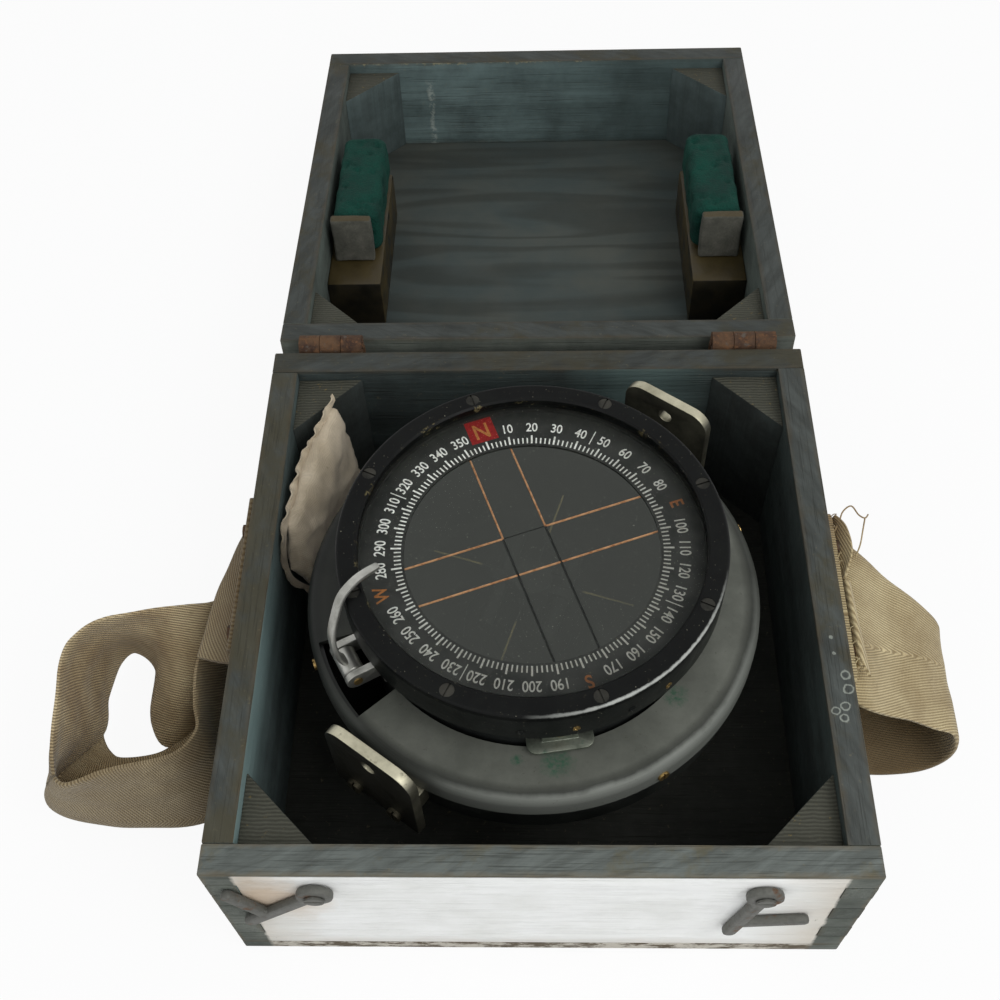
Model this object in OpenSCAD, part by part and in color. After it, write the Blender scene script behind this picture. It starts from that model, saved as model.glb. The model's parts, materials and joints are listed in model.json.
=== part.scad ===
// Pilot's aircraft compass packed in its wooden transit box, with the lid laid open.
// Millimetres. +Z is up, +Y is towards the hinges, and the origin is the centre of the box's underside.

/* [Box] */
// Room between the compass's flange and the left and right boards
side_room = 18; // [15:0.5:24]
// Room between the compass's flange and the front and rear boards
end_room = 19; // [16:0.5:24]
// Height of the tray with its base board
tray_h = 93; // [91:0.5:100]
// Height of the lid with its panel
lid_h = 69; // [67:0.5:75]
// Thickness of the side boards
wall_t = 12; // [9:0.5:13]
// Thickness of the base board
base_t = 8; // [6:0.5:9]
// Thickness of the lid panel
panel_t = 12; // [9:0.5:13]
// Comb fingers along a tray corner
tray_fingers = 7; // [5:2:9]
// Comb fingers along a lid corner
lid_fingers = 5; // [3:2:7]
// Leg of the three-cornered blocks glued into the corners
block_leg = 30; // [20:1:32]
// How far the corner blocks stop short of the rim
block_drop = 6; // [3:0.5:12]
// Gap between the two rims when the lid is shut
seam_gap = 0.4; // [0.3:0.1:1]
// Gap between the open lid's far edge and the table
table_gap = 0.3; // [0.2:0.1:2]

/* [Hinges] */
// Distance of a hinge's middle from the box's side
hinge_in = 26; // [22:1:50]
// Width of one hinge
hinge_w = 30; // [24:1:36]
// Height of one leaf from the hinge line
leaf_h = 18; // [15:0.5:22]
// Thickness of a leaf
leaf_t = 2; // [1.5:0.1:2.5]
// Radius of the rolled knuckles
knuckle_r = 4.8; // [4.4:0.1:5]
// Radius of the hinge pin
hinge_pin_r = 1.8; // [1.2:0.1:2.2]
// Distance of the hinge line behind the box
hinge_out = 6.2; // [5.8:0.1:6.6]
// Distance of the hinge line below the tray's rim
hinge_drop = 2; // [1:0.1:3]

/* [Latches] */
// Distance of a hook's pivot from the box's side
hook_in = 41; // [38:1:60]
// Distance of the pivots below the tray's rim
hook_drop = 15.5; // [13:0.5:18]
// Radius of the hook's eye
hook_eye_r = 7; // [6:0.5:8]
// Thickness of the hook
hook_t = 3.5; // [2.5:0.1:4.5]
// Length of the hook's arm from its pivot
hook_arm = 43; // [40:1:48]
// Width of the arm
hook_arm_w = 5.5; // [4.5:0.5:6.5]
// Distance of the barb's root from the pivot
barb_at = 32; // [31:0.5:34]
// Length of the barb
barb_len = 24.5; // [20:0.5:28]
// Width of the barb
barb_w = 5; // [4:0.5:5.5]
// Angle between the arm and its barb
barb_angle = 110; // [107:1:113]
// Radius of the pivot screw's shank
hook_pin_r = 2.6; // [2:0.1:3.2]
// Angle at which the left hook hangs, from straight down
hang_left = 43; // [0:1:46]
// Angle at which the right hook hangs, from straight down
hang_right = 11; // [0:1:40]
// Distance of the lid's stud from the pivot when the lid is shut
stud_reach = 25.2; // [24.8:0.1:25.6]
// Radius of the stud
stud_r = 2; // [1.5:0.1:2.2]

/* [Handles] */
// Thickness of the webbing
web_t = 2.4; // [1.5:0.1:3.2]
// How far the left handle's loop stands out from the box
loop_left = 82; // [76:1:92]
// How far the right handle's loop stands out from the box
loop_right = 54; // [46:1:60]
// Radius of a handle nail's head
nail_r = 3.2; // [2.5:0.1:4]

/* [Lid pads] */
// Width of the wooden block that carries a pad
pad_block_w = 29; // [28:0.5:29.5]
// Width of a sponge pad
pad_w = 26; // [20:0.5:28]
// Length of a sponge pad, front to back
pad_len = 72; // [50:1:80]
// Distance of a pad's middle in front of the middle of the box
pad_fwd = 6; // [0:1:12]
// Height of a sponge pad
pad_h = 28; // [20:0.5:30]
// Length of the wooden block that carries the pad
block_len = 96; // [80:1:100]
// Thickness of the felt on the pad's end
felt_t = 6; // [3:0.5:9]
// Gap between the pads and the compass when the lid is shut
pad_gap = 0.6; // [0.4:0.1:3]

/* [Compass case] */
// Distance of the compass axis right of the middle of the box
compass_x = -2; // [-4:0.5:1]
// Distance of the compass axis behind the middle of the box
compass_y = -3; // [-5:0.5:3]
// Height of the case's flange above the table
flange_z = 92; // [91:0.5:94]
// Width of the flange from its inner edge to its outer edge
flange_w = 22.5; // [20:0.5:24]
// Gap between the bowl and the flange
flange_clear = 2; // [1.9:0.1:3]
// Thickness of the flange
flange_t = 2.5; // [1.8:0.1:3]
// Depth of the flange's skirt
skirt_h = 12; // [10:0.5:14]
// Thickness of the flange's skirt
skirt_t = 2.4; // [2:0.1:3]
// Radius of the flange's rounded edge
lip_r = 5; // [3:0.5:6]
// Wall of the pan under the flange
pan_t = 2.4; // [1.8:0.1:3]
// How far the edge of the pan's flat bottom is inside the bowl's side
pan_in = 3.5; // [0:0.5:7]
// Height of the pan's bottom above the table
pan_z = 36; // [34:0.5:38]
// Height at which the pan's side turns upright
pan_turn_z = 62; // [58:0.5:64]
// How far the corrector housing is inside the edge of the pan's bottom
corrector_in = 8; // [6:0.5:12]
// Wall of the corrector housing
corrector_t = 2.5; // [2:0.1:3]
// Radius of a corrector spindle
spindle_r = 4; // [3:0.1:4.5]
// Length of a corrector magnet
corrector_magnet_len = 20; // [14:0.5:20]

/* [Lugs] */
// Direction of the forward lug
lug_angle = 54; // [50:1:58]
// Width of a lug
lug_w = 42; // [38:1:46]
// Thickness of a lug
lug_t = 4.5; // [3:0.1:5]
// Height of a lug's top above the flange
lug_rise = 20; // [16:0.5:22]
// Distance of a lug's inner face from the flange's edge
lug_out = 6; // [4:0.5:7]
// Radius of a lug's bolt hole
lug_bore_r = 3.2; // [2.5:0.1:4]
// Distance of the bolt hole below the lug's top
lug_bore_drop = 10; // [8:0.5:14]
// Radius of a lug's top corners
lug_corner_r = 9; // [6:0.5:10]

/* [Bowl] */
// Outer radius of the bowl
bowl_r = 69.5; // [66:0.5:74]
// Wall of the bowl
bowl_t = 2.2; // [1.8:0.1:2.6]
// Height of the bowl's rim above the table
bowl_rim_z = 117.3; // [116:0.1:118]
// Thickness of the bowl's glass
bowl_glass_t = 3; // [2:0.1:3.5]
// Width of the ledge that carries the bowl's glass
ledge_w = 6; // [4:0.5:7]
// Thickness of the rubber mounts under the bowl
rubber_t = 6; // [4:0.5:7]
// Radius of the pivot post
post_r = 4; // [3:0.1:4.4]
// Height of the pivot's point above the table
pivot_z = 94; // [90:0.5:96]

/* [Grid ring] */
// How far the grid ring and its bezel stand out past the bowl
ring_over = 7.5; // [7:0.1:8]
// Height of the grid ring's body
ring_h = 14.2; // [13:0.1:15]
// Thickness of the bezel
bezel_t = 3.5; // [3:0.1:4.5]
// Width of the bezel
bezel_w = 8.5; // [8:0.5:10]
// Thickness of the grid glass
grid_glass_t = 3.6; // [2.5:0.1:4]
// Width of the scale ring
scale_w = 19.2; // [16:0.2:22]
// Thickness of the scale ring
scale_t = 1.2; // [0.8:0.1:1.5]
// Distance of the grid wires from the middle
wire_off = 9; // [7:0.5:11]
// Radius of the grid wires
wire_r = 0.4; // [0.3:0.05:0.5]
// Direction of the grid's north mark
north_angle = 110; // [0:1:359]
// Screws round the bezel
bezel_screws_n = 8; // [6:1:12]
// Distance of the bezel's screws from its outer edge
bezel_screw_in = 4.2; // [4:0.1:5]

/* [Clamp] */
// Direction of the grid ring's clamp
clamp_angle = 209; // [205:1:213]
// Distance of the clamp's hinge pin from the bowl
clamp_out = 13; // [12.5:0.1:14]
// Height of the clamp's hinge pin above the flange
clamp_pin_rise = 8; // [7.5:0.1:9]
// Radius of the clamp's hinge pin
clamp_pin_r = 1.9; // [1.5:0.1:2.2]
// Width of the lever between the bracket's ears
lever_w = 11; // [8:0.5:12]
// Thickness of the lever's arm
lever_t = 2.4; // [2:0.1:2.6]

/* [Magnet system] */
// Reach of the damping wires from the pivot
damper_r = 43; // [36:0.5:48]
// Length of a bar magnet
magnet_len = 46; // [36:1:50]
// Radius of a bar magnet
magnet_r = 3; // [2:0.1:3.2]
// Distance of each bar magnet from the pivot
magnet_off = 13; // [12.5:0.5:16]
// Direction in which the magnet system points
magnet_angle = 72; // [0:1:359]

/* [Hidden] */
$fn = 96;
slip = 0.05;
gap = 0.3;

flange_in_r = bowl_r + flange_clear;
flange_r = flange_in_r + flange_w;
inner_w = 2 * (flange_r + side_room);
inner_d = 2 * (flange_r + end_room);
box_w = inner_w + 2 * wall_t;
box_d = inner_d + 2 * wall_t;
hinge_x = box_w / 2 - hinge_in;
hook_x = box_w / 2 - hook_in;
tray_wall_h = tray_h - base_t;
lid_wall_h = lid_h - panel_t;
rim_z = tray_h + seam_gap;
roof_z = rim_z + lid_wall_h;
hinge_y = box_d / 2 + hinge_out;
hinge_z = tray_h - hinge_drop;
lid_reach = box_d + hinge_out;
lid_rise = lid_h + seam_gap + hinge_drop;
// Angle past flat at which the open lid's far edge meets the table
lid_tilt = asin((hinge_z - table_gap) / norm([lid_reach, lid_rise])) - atan2(lid_rise, lid_reach);
lid_swing = 180 + lid_tilt;

screw_r = 1.6;
screw_head_r = 3.2;
screw_head_t = 1;
screw_len = 11;
leaf_screw_x = hinge_w / 4;
leaf_screw_drop = leaf_h - 6;
knuckle_w = hinge_w / 3;

hook_z = tray_h - hook_drop;
hook_y = -box_d / 2 - gap;
hook_screw_head_r = 3.8;
hook_screw_head_t = 0.9;
hook_screw_len = 9;
stud_len = gap + hook_t + 2 * gap;
stud_head_r = 4.2;
stud_head_t = 1.8;
stud_z = hook_z + stud_reach;

pad_y = -pad_fwd;
pad_z = flange_z + pad_gap;
pad_top_z = pad_z + pad_h;
pad_in_x = inner_w / 2 - pad_block_w;
felt_in = 4;
felt_w = pad_w - felt_in;

floor_gap = 0.2;
case_z = base_t + floor_gap;
pan_r = flange_r - skirt_t - slip;
pan_base_r = bowl_r - pan_in;
corrector_r = pan_base_r - corrector_in;
pan_floor_t = 4;
pan_floor_z = pan_z + pan_floor_t;
flange_under_z = flange_z - flange_t;
skirt_z = flange_z - skirt_h;
case_screw_z = skirt_z + 4;
case_screw_angles = [-58, 20, 122, 200];
case_screw_r = 1.5;
case_screw_head_r = 2.4;
case_screw_head_t = 1;

spindle_z = (case_z + pan_z) / 2;
post_bearing_r = 10;
journal_r = 2.2;
journal_len = 5;
spindle_in_r = post_bearing_r - journal_len + gap;
spindle_out_r = corrector_r + 3;
corrector_magnet_r = 2.5;
corrector_magnet_at = 34;
spindle_angles = [lug_angle + 180, lug_angle - 90];

lug_in_r = flange_r + lug_out;
lug_top_z = flange_z + lug_rise;
lug_low_z = pan_turn_z + 4;
lug_foot_h = 12;
lug_foot_w = 30;
lug_screw_x = 10;
lug_screw_z = lug_low_z + lug_foot_h / 2;
lug_screw_r = 1.8;
lug_screw_head_r = 3.4;
lug_screw_head_t = 2;

bowl_z = pan_floor_z + rubber_t;
bowl_in_r = bowl_r - bowl_t;
bowl_floor_z = bowl_z + bowl_t;
bowl_turn = 7;
glass_lock_t = 2;
bowl_glass_z = bowl_rim_z - gap - glass_lock_t - bowl_glass_t;
bowl_seal_t = 1.5;
ledge_t = 3;
ledge_z = bowl_glass_z - bowl_seal_t - ledge_t;
ledge_in_r = bowl_in_r - ledge_w;
rubber_r = 9;
rubber_in = 20;
rubber_at = pan_base_r - rubber_in;
expander_r = 38;
expander_in_r = 12;
expander_h = 6;
plug_r = 5;
plug_in = 15.3;
plug_at = bowl_in_r - plug_in;

ring_r = bowl_r + ring_over;
ring_web_t = 2;
ring_skirt = 7.6;
scale_z = bowl_rim_z + gap + ring_web_t;
ring_z = scale_z - ring_skirt;
ring_top_z = ring_z + ring_h;
ring_step = 3.5;
ring_ledge_r = bowl_r - ring_step;
bezel_in_r = ring_r - bezel_w;
glass_lap = 1.7;
ring_bore_r = bezel_in_r + glass_lap;
scale_in_r = ring_bore_r - scale_w;
scale_rim_r = bezel_in_r + 0.2;
bezel_screw_pcr = ring_r - bezel_screw_in;
grid_seat_r = ring_bore_r - 2 * slip;
grid_glass_z = ring_top_z - grid_glass_t;
scale_top_z = scale_z + scale_t;
bezel_z = ring_top_z;
bezel_top_z = bezel_z + bezel_t;
bezel_screw_r = 1.5;
bezel_head_r = 2.8;
bezel_head_t = 1.4;
bezel_screw_len = 6;
wire_z = scale_z - wire_r;
wire_hold = 5;
wire_reach = scale_in_r + wire_hold;

stop_angles = [-81.5, 38.5, 158.5];
stop_t = 1.6;
stop_w = 26;
stop_leg_w = 14;
stop_lift = 2;
stop_z = flange_z + stop_lift;
stop_leg_h = 13;
stop_over = 4;
stop_out_r = flange_in_r + stop_over;
stop_corner_r = 4;
stop_screw_rise = 9;
stop_screw_z = stop_z + stop_screw_rise;
bowl_screw_head_r = 2.6;
bowl_screw_head_t = 1;
bowl_screw_len = stop_t + bowl_t;

clamp_pin_at = bowl_r + clamp_out;
clamp_pin_z = flange_z + clamp_pin_rise;
ear_t = 3;
ear_at = lever_w / 2 + gap + ear_t / 2;
bracket_t = 2.5;
bracket_w = 2 * ear_at + ear_t;
bracket_drop = 12;
bracket_low_z = clamp_pin_z - bracket_drop;
bracket_rise = 5;
bracket_top_z = clamp_pin_z + bracket_rise;
bracket_screw_drop = 8.5;
bracket_screw_z = clamp_pin_z - bracket_screw_drop;
boss_r = 4.5;
pocket_half = 12;
pocket_edge = 1;
pocket_out_r = flange_r - skirt_t - pocket_edge;
lever_tip_z = bezel_top_z + lever_t / 2 + 1.3;
// Middle line of the lever's arm: outward, round the axis and up, from the clamp's pin
lever_line = [
    [clamp_pin_at, 0, clamp_pin_z],
    [clamp_pin_at + 3.5, -0.5, clamp_pin_z + 10],
    [clamp_pin_at + 3, -3.5, clamp_pin_z + 19],
    [ring_r + 4, -7, ring_top_z + 1.3],
    [ring_r - 0.5, -10, lever_tip_z],
    [ring_r - 7, -12.5, lever_tip_z + 1.8],
    [ring_r - 12.5, -14, lever_tip_z + 1.6],
    [ring_r - 17.5, -15.5, lever_tip_z]
];

hub_r = 8;
hub_drop = 8;
hub_low_z = pivot_z - hub_drop;
hub_rise = 5;
hub_top_z = pivot_z + hub_rise;
post_clear = 1.2;
carrier_arm_w = 5;
carrier_wall = 1.2;
jewel_r = 2.4;
jewel_t = 2.5;
damper_wire_r = 0.4;
damper_z = hub_top_z - 1;
magnet_drop = 4;
magnet_z = pivot_z - magnet_drop;

timber = [0.34, 0.37, 0.35];
ply = [0.27, 0.27, 0.25];
rust = [0.40, 0.27, 0.19];
iron = [0.30, 0.30, 0.27];
webbing = [0.62, 0.54, 0.42];
nickel = [0.62, 0.60, 0.50];
alloy = [0.40, 0.41, 0.38];
black = [0.11, 0.12, 0.12];
brass = [0.60, 0.48, 0.26];
clear = [0.75, 0.82, 0.82, 0.35];

function turned(p, a) = [p[0] * cos(a) - p[1] * sin(a), p[0] * sin(a) + p[1] * cos(a)];
function arc(centre, r, from, to, n = 8) =
    [for (i = [0 : n]) centre + r * [cos(from + (to - from) * i / n), sin(from + (to - from) * i / n)]];

module both_sides() {
    children();
    mirror([1, 0, 0]) children();
}

module lid_open() {
    translate([0, hinge_y, hinge_z])
        rotate([-lid_swing, 0, 0])
            translate([0, -hinge_y, -hinge_z])
                children();
}

module compass() {
    translate([compass_x, compass_y, 0]) children();
}

// A ring or, with no inner radius, a disc on the axis
module ring(r_out, r_in, z_low, z_high) {
    translate([0, 0, z_low]) difference() {
        cylinder(r = r_out, h = z_high - z_low);
        if (r_in > 0) translate([0, 0, -1]) cylinder(r = r_in, h = z_high - z_low + 2);
    }
}

// A slotted screw with its head on the plane z = 0 and its shank below it
module slotted_screw(r, length, head_r, head_t) {
    slot_w = head_r / 4;
    translate([0, 0, -length]) cylinder(r = r, h = length);
    difference() {
        cylinder(r = head_r, h = head_t);
        translate([-head_r - 1, -slot_w / 2, head_t / 2]) cube([2 * head_r + 2, slot_w, head_t]);
    }
}

// The hole that such a screw's shank goes into
module shank_hole(r, length) {
    translate([0, 0, -length - slip]) cylinder(r = r + slip, h = length + slip + 5);
}

// A side board along X, with comb fingers cut at both ends where the index has this parity
module comb_board(length, height, fingers, parity) {
    pitch = height / fingers;
    difference() {
        translate([-length / 2, 0, 0]) cube([length, wall_t, height]);
        for (i = [0 : fingers - 1], side = [-1, 1])
            if (i % 2 == parity)
                translate([side * (length - wall_t) / 2, wall_t / 2, (i + 0.5) * pitch])
                    cube([wall_t + 2 * slip, wall_t + 2, pitch + 2 * slip], center = true);
    }
}

module corner_blocks(low_z, height) {
    for (x = [-1, 1], y = [-1, 1])
        translate([x * inner_w / 2, y * inner_d / 2, low_z])
            mirror([x > 0 ? 1 : 0, 0, 0])
                mirror([0, y > 0 ? 1 : 0, 0])
                    linear_extrude(height) polygon([[0, 0], [block_leg, 0], [0, block_leg]]);
}

// Tray

module front_panel(z_low, height, fingers) {
    translate([0, -box_d / 2, z_low]) comb_board(box_w, height, fingers, 1);
}

module rear_panel(z_low, height, fingers) {
    translate([0, box_d / 2, z_low]) mirror([0, 1, 0]) comb_board(box_w, height, fingers, 1);
}

module side_panel(z_low, height, fingers) {
    translate([box_w / 2, 0, z_low]) rotate([0, 0, 90]) comb_board(box_d, height, fingers, 0);
}

module hook_pivots() {
    both_sides() translate([hook_x, -box_d / 2, hook_z]) rotate([90, 0, 0]) children();
}

module front_wall() {
    color(timber) difference() {
        front_panel(base_t, tray_wall_h, tray_fingers);
        hook_pivots() shank_hole(hook_pin_r, hook_screw_len);
    }
}

module leaf_screws_at(z) {
    for (hinge = [-hinge_x, hinge_x], x = [-leaf_screw_x, leaf_screw_x])
        translate([hinge + x, box_d / 2, z]) rotate([-90, 0, 0]) children();
}

module rear_wall() {
    color(timber) difference() {
        rear_panel(base_t, tray_wall_h, tray_fingers);
        leaf_screws_at(hinge_z - leaf_screw_drop) shank_hole(screw_r, screw_len);
    }
}

// Nails of the two handles: [y, z] of each on its wall
nail_len = 9;
nail_head_t = 1.2;
nails_left = [[34.5, 24], [34.5, 48], [17.5, 24], [17.5, 48], [30, 83], [-20, 83]];
nails_right = [[20, 84], [-30, 84], [-20, 20], [-40, 20]];

module handle_nail_places() {
    for (p = nails_right)
        translate([box_w / 2, p[0], p[1]]) rotate([0, 90, 0]) children();
    for (p = nails_left)
        translate([-box_w / 2, p[0], p[1]]) rotate([0, -90, 0]) children();
}

module right_wall() {
    color(timber) difference() {
        side_panel(base_t, tray_wall_h, tray_fingers);
        handle_nail_places() shank_hole(screw_r, nail_len);
    }
}

module left_wall() {
    color(timber) difference() {
        mirror([1, 0, 0]) side_panel(base_t, tray_wall_h, tray_fingers);
        handle_nail_places() shank_hole(screw_r, nail_len);
    }
}

module base_board() {
    color(ply) translate([-box_w / 2, -box_d / 2, 0]) cube([box_w, box_d, base_t]);
}

module tray_corner_blocks() {
    color(timber) corner_blocks(base_t, tray_wall_h - block_drop);
}

// One leaf hanging down from the hinge line, its back on the plane y = 0
module hinge_leaf(knuckles) {
    clear_z = knuckle_r + 2 * gap;
    roll_t = hinge_out - knuckle_r / 2;
    difference() {
        union() {
            translate([-hinge_w / 2, 0, -leaf_h]) cube([hinge_w, leaf_t, leaf_h - clear_z]);
            for (k = knuckles) translate([k * knuckle_w, 0, 0]) {
                half = knuckle_w / 2 - gap / 2;
                translate([-half, 0, -clear_z - 1]) cube([2 * half, roll_t, clear_z + 1]);
                translate([-half, hinge_out, 0]) rotate([0, 90, 0]) cylinder(r = knuckle_r, h = 2 * half);
            }
        }
        translate([-hinge_w, hinge_out, 0]) rotate([0, 90, 0])
            cylinder(r = hinge_pin_r + slip, h = 2 * hinge_w);
        for (x = [-leaf_screw_x, leaf_screw_x])
            translate([x, 0, -leaf_screw_drop]) rotate([-90, 0, 0]) shank_hole(screw_r, 1);
    }
}

module tray_hinge_leaves() {
    color(rust) for (x = [-hinge_x, hinge_x])
        translate([x, box_d / 2, hinge_z]) hinge_leaf([-1, 1]);
}

module tray_hinge_screws() {
    color(rust) translate([0, leaf_t, 0])
        leaf_screws_at(hinge_z - leaf_screw_drop)
            slotted_screw(screw_r, screw_len, screw_head_r, screw_head_t);
}

module hinge_pins() {
    color(rust) for (x = [-hinge_x, hinge_x])
        translate([x - hinge_w / 2 - 0.5, hinge_y, hinge_z]) rotate([0, 90, 0])
            cylinder(r = hinge_pin_r, h = hinge_w + 1);
}

// A straight bar with round ends, from the origin along X
module round_bar(length, width) {
    translate([0, -width / 2]) square([length, width]);
    circle(d = width);
    translate([length, 0]) circle(d = width);
}

// A hook lying in the XZ plane with its arm along +X and its barb on the +Z side
module hook() {
    rotate([90, 0, 0]) linear_extrude(hook_t) difference() {
        union() {
            circle(r = hook_eye_r);
            round_bar(hook_arm, hook_arm_w);
            translate([barb_at, 0]) rotate(barb_angle) round_bar(barb_len, barb_w);
        }
        circle(r = hook_pin_r + slip);
    }
}

module latch_hook_right() {
    color(iron) translate([hook_x, hook_y, hook_z]) rotate([0, 90 + hang_right, 0]) hook();
}

module latch_hook_left() {
    color(iron) translate([-hook_x, hook_y, hook_z]) mirror([1, 0, 0]) rotate([0, 90 - hang_left, 0]) hook();
}

module latch_screws() {
    seat = 2 * gap + hook_t;
    color(iron) hook_pivots() translate([0, 0, seat])
        slotted_screw(hook_pin_r, hook_screw_len + seat, hook_screw_head_r, hook_screw_head_t);
}

// A smooth line through hand-chosen points
function spline(p, i, t) =
    let (n = len(p) - 1, a = p[max(i - 1, 0)], b = p[i], c = p[i + 1], d = p[min(i + 2, n)])
    0.5 * (2 * b + (c - a) * t + (2 * a - 5 * b + 4 * c - d) * t * t + (3 * b - a - 3 * c + d) * t * t * t);
function smooth(p, steps) =
    [for (i = [0 : len(p) - 2], s = [0 : steps - 1]) spline(p, i, s / steps), p[len(p) - 1]];
function unit(v) = v / norm(v);

// A piece of webbing stretched over lines that run along it, one point of each per station, and held
// off the wall
cloth_steps = 4;
module cloth(lines) {
    rows = [for (line = lines) [for (p = smooth(line, cloth_steps)) [max(p[0], web_seat), p[1], p[2]]]];
    m = len(rows);
    n = len(rows[0]);
    face = [for (j = [0 : m - 1]) [for (i = [0 : n - 1])
        unit(cross(rows[j][min(i + 1, n - 1)] - rows[j][max(i - 1, 0)],
                   rows[min(j + 1, m - 1)][i] - rows[max(j - 1, 0)][i]))]];
    points = [for (side = [1, -1], j = [0 : m - 1], i = [0 : n - 1])
        rows[j][i] + side * web_t / 2 * face[j][i]];
    back = m * n;
    over = [for (j = [0 : m - 2], i = [0 : n - 2])
        let (a = j * n + i) each [[a, a + n, a + n + 1], [a, a + n + 1, a + 1]]];
    under = [for (f = over) [f[2] + back, f[1] + back, f[0] + back]];
    rim = concat(
        [for (i = [0 : n - 1]) i],
        [for (j = [1 : m - 1]) j * n + n - 1],
        [for (i = [n - 2 : -1 : 0]) (m - 1) * n + i],
        [for (j = [m - 2 : -1 : 1]) j * n]
    );
    edge = [for (k = [0 : len(rim) - 1])
        let (a = rim[k], b = rim[(k + 1) % len(rim)]) each [[a, b, b + back], [a, b + back, a + back]]];
    polyhedron(points, concat(over, under, edge));
}

web_seat = web_t / 2 + gap;

// Left handle, measured out from the wall: a standing loop with both ends nailed to the wall, and a flap
// that slopes down over them. The loop's lower edge flares outwards at its front corner.
left_top = [
    [web_seat, 22, 62], [web_seat, 13, 62], [5, 5, 62], [15, -6, 61], [22, -21, 60], [21, -40, 60],
    [18, -53, 60], [25, -63, 60], [40, -68, 60], [55, -72, 60], [loop_left - 13, -77, 60],
    [loop_left - 6, -68, 60], [loop_left - 2, -45, 60], [loop_left, -18, 60], [loop_left - 4, -8, 60],
    [66, 0, 60], [48, 4, 60], [30, 6.5, 60], [19, 9, 60], [9, 17, 60], [2.2, 28, 60], [web_seat, 31, 60],
    [web_seat, 38, 60]
];
left_low = [
    [web_seat, 22, 10], [web_seat, 13, 10], [web_seat + 0.3, 4, 9], [3, -8, 8], [4, -26, 8], [6, -46, 9],
    [11, -66, 10], [27, -76, 11], [55, -77, 12], [loop_left - 5, -75, 14], [loop_left + 9, -69, 17],
    [loop_left + 11, -54, 13], [loop_left - 5, -32, 8], [loop_left - 3, -12, 5], [loop_left - 5, 6, 4],
    [70, 13, 4], [58, 2, 4], [56, -24, 4], [43, -36, 5], [20, -2, 7], [2.2, 28, 10], [web_seat, 31, 10],
    [web_seat, 38, 10]
];
left_flap_wall = [
    [web_seat, 44, 89], [web_seat, 30, 89], [web_seat, 10, 89], [web_seat, -12, 89], [web_seat, -31, 89]
];
left_flap_bend = [
    [web_seat, 44, 77], [web_seat + 0.2, 30, 77], [web_seat + 0.4, 10, 77], [web_seat + 0.6, -12, 77],
    [web_seat + 0.8, -31, 77]
];
left_flap_low = [
    [web_seat + 2, 46, 70], [8, 37, 69], [13, 21, 68], [18, 0, 66], [20.5, -23, 66]
];

// Right handle: a loop whose width lies along the wall, out at the top and back underneath
right_rear = [
    [web_seat, 34, 89], [web_seat, 31, 80], [11, 24, 79], [22, 16, 72], [36, 8, 64],
    [loop_right - 7, 3, 56], [loop_right - 2, 0, 46], [loop_right - 1, -2, 32], [loop_right - 7, -4, 18],
    [32, -6, 10], [14, -8, 9], [web_seat, -9, 14], [web_seat, -9, 27]
];
right_front = [
    [web_seat, -44, 89], [web_seat, -49, 80], [8, -52, 77], [17, -51, 69], [29, -49, 60],
    [loop_right - 12, -48, 50], [loop_right - 2, -47, 41], [loop_right + 2, -48, 28],
    [loop_right - 2, -49, 14], [40, -50, 7], [22, -50, 6], [web_seat, -50, 13], [web_seat, -50, 27]
];

module handle_strap_left() {
    color(webbing) difference() {
        translate([-box_w / 2, 0, 0]) mirror([1, 0, 0]) {
            cloth([left_low, left_top]);
            cloth([left_flap_low, left_flap_bend, left_flap_wall]);
        }
        handle_nail_places() shank_hole(screw_r, nail_len);
    }
}

module handle_strap_right() {
    color(webbing) difference() {
        translate([box_w / 2, 0, 0]) cloth([right_front, right_rear]);
        handle_nail_places() shank_hole(screw_r, nail_len);
    }
}

module handle_nails() {
    color(iron) handle_nail_places() {
        translate([0, 0, -nail_len]) cylinder(r = screw_r, h = nail_len + web_t + 3 * gap);
        translate([0, 0, web_t + 3 * gap]) cylinder(r = nail_r, h = nail_head_t);
    }
}

// Flat cloth bag leaning between the case and the left wall. Each corner of it is a share of the bag's
// lean, length and height, from the rear upper corner at the wall.
bag_r = 5;
bag_lean = 20;
bag_len = 68;
bag_h = 57.5;
bag_rear_room = 26;
bag_rim_drop = 6.5;
bag_corners = [
    [0, 1, 0.27], [0.35, 1, 0.46], [0, 0.85, 0.01], [0.25, 0.31, 0], [0.6, 0, 0.04], [1, 0, 0.72],
    [0.5, 0.66, 1]
];
bag_tip = [0.69, -0.11, -0.12];
bag_tip_r = 2;
module bag_corner(p, r) {
    translate([
        -inner_w / 2 + bag_r + gap + p[0] * bag_lean,
        inner_d / 2 - bag_rear_room - p[1] * bag_len,
        tray_h - bag_rim_drop - p[2] * bag_h
    ]) sphere(r = r, $fn = 24);
}

module cloth_bag() {
    color([0.60, 0.56, 0.50]) hull() {
        for (p = bag_corners) bag_corner(p, bag_r);
        bag_corner(bag_tip, bag_tip_r);
    }
}

// Lid, drawn shut and then laid open

module lid_front_wall() {
    color(timber) lid_open() difference() {
        front_panel(rim_z, lid_wall_h, lid_fingers);
        stud_places() shank_hole(stud_r, hook_screw_len);
    }
}

module lid_rear_wall() {
    color(timber) lid_open() difference() {
        rear_panel(rim_z, lid_wall_h, lid_fingers);
        leaf_screws_at(hinge_z + leaf_screw_drop) shank_hole(screw_r, screw_len);
    }
}

module lid_right_wall() {
    color(timber) lid_open() side_panel(rim_z, lid_wall_h, lid_fingers);
}

module lid_left_wall() {
    color(timber) lid_open() mirror([1, 0, 0]) side_panel(rim_z, lid_wall_h, lid_fingers);
}

module lid_panel() {
    color(ply) lid_open() translate([-box_w / 2, -box_d / 2, roof_z]) cube([box_w, box_d, panel_t]);
}

module lid_corner_blocks() {
    color(timber) lid_open() corner_blocks(rim_z + block_drop, lid_wall_h - block_drop);
}

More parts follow.
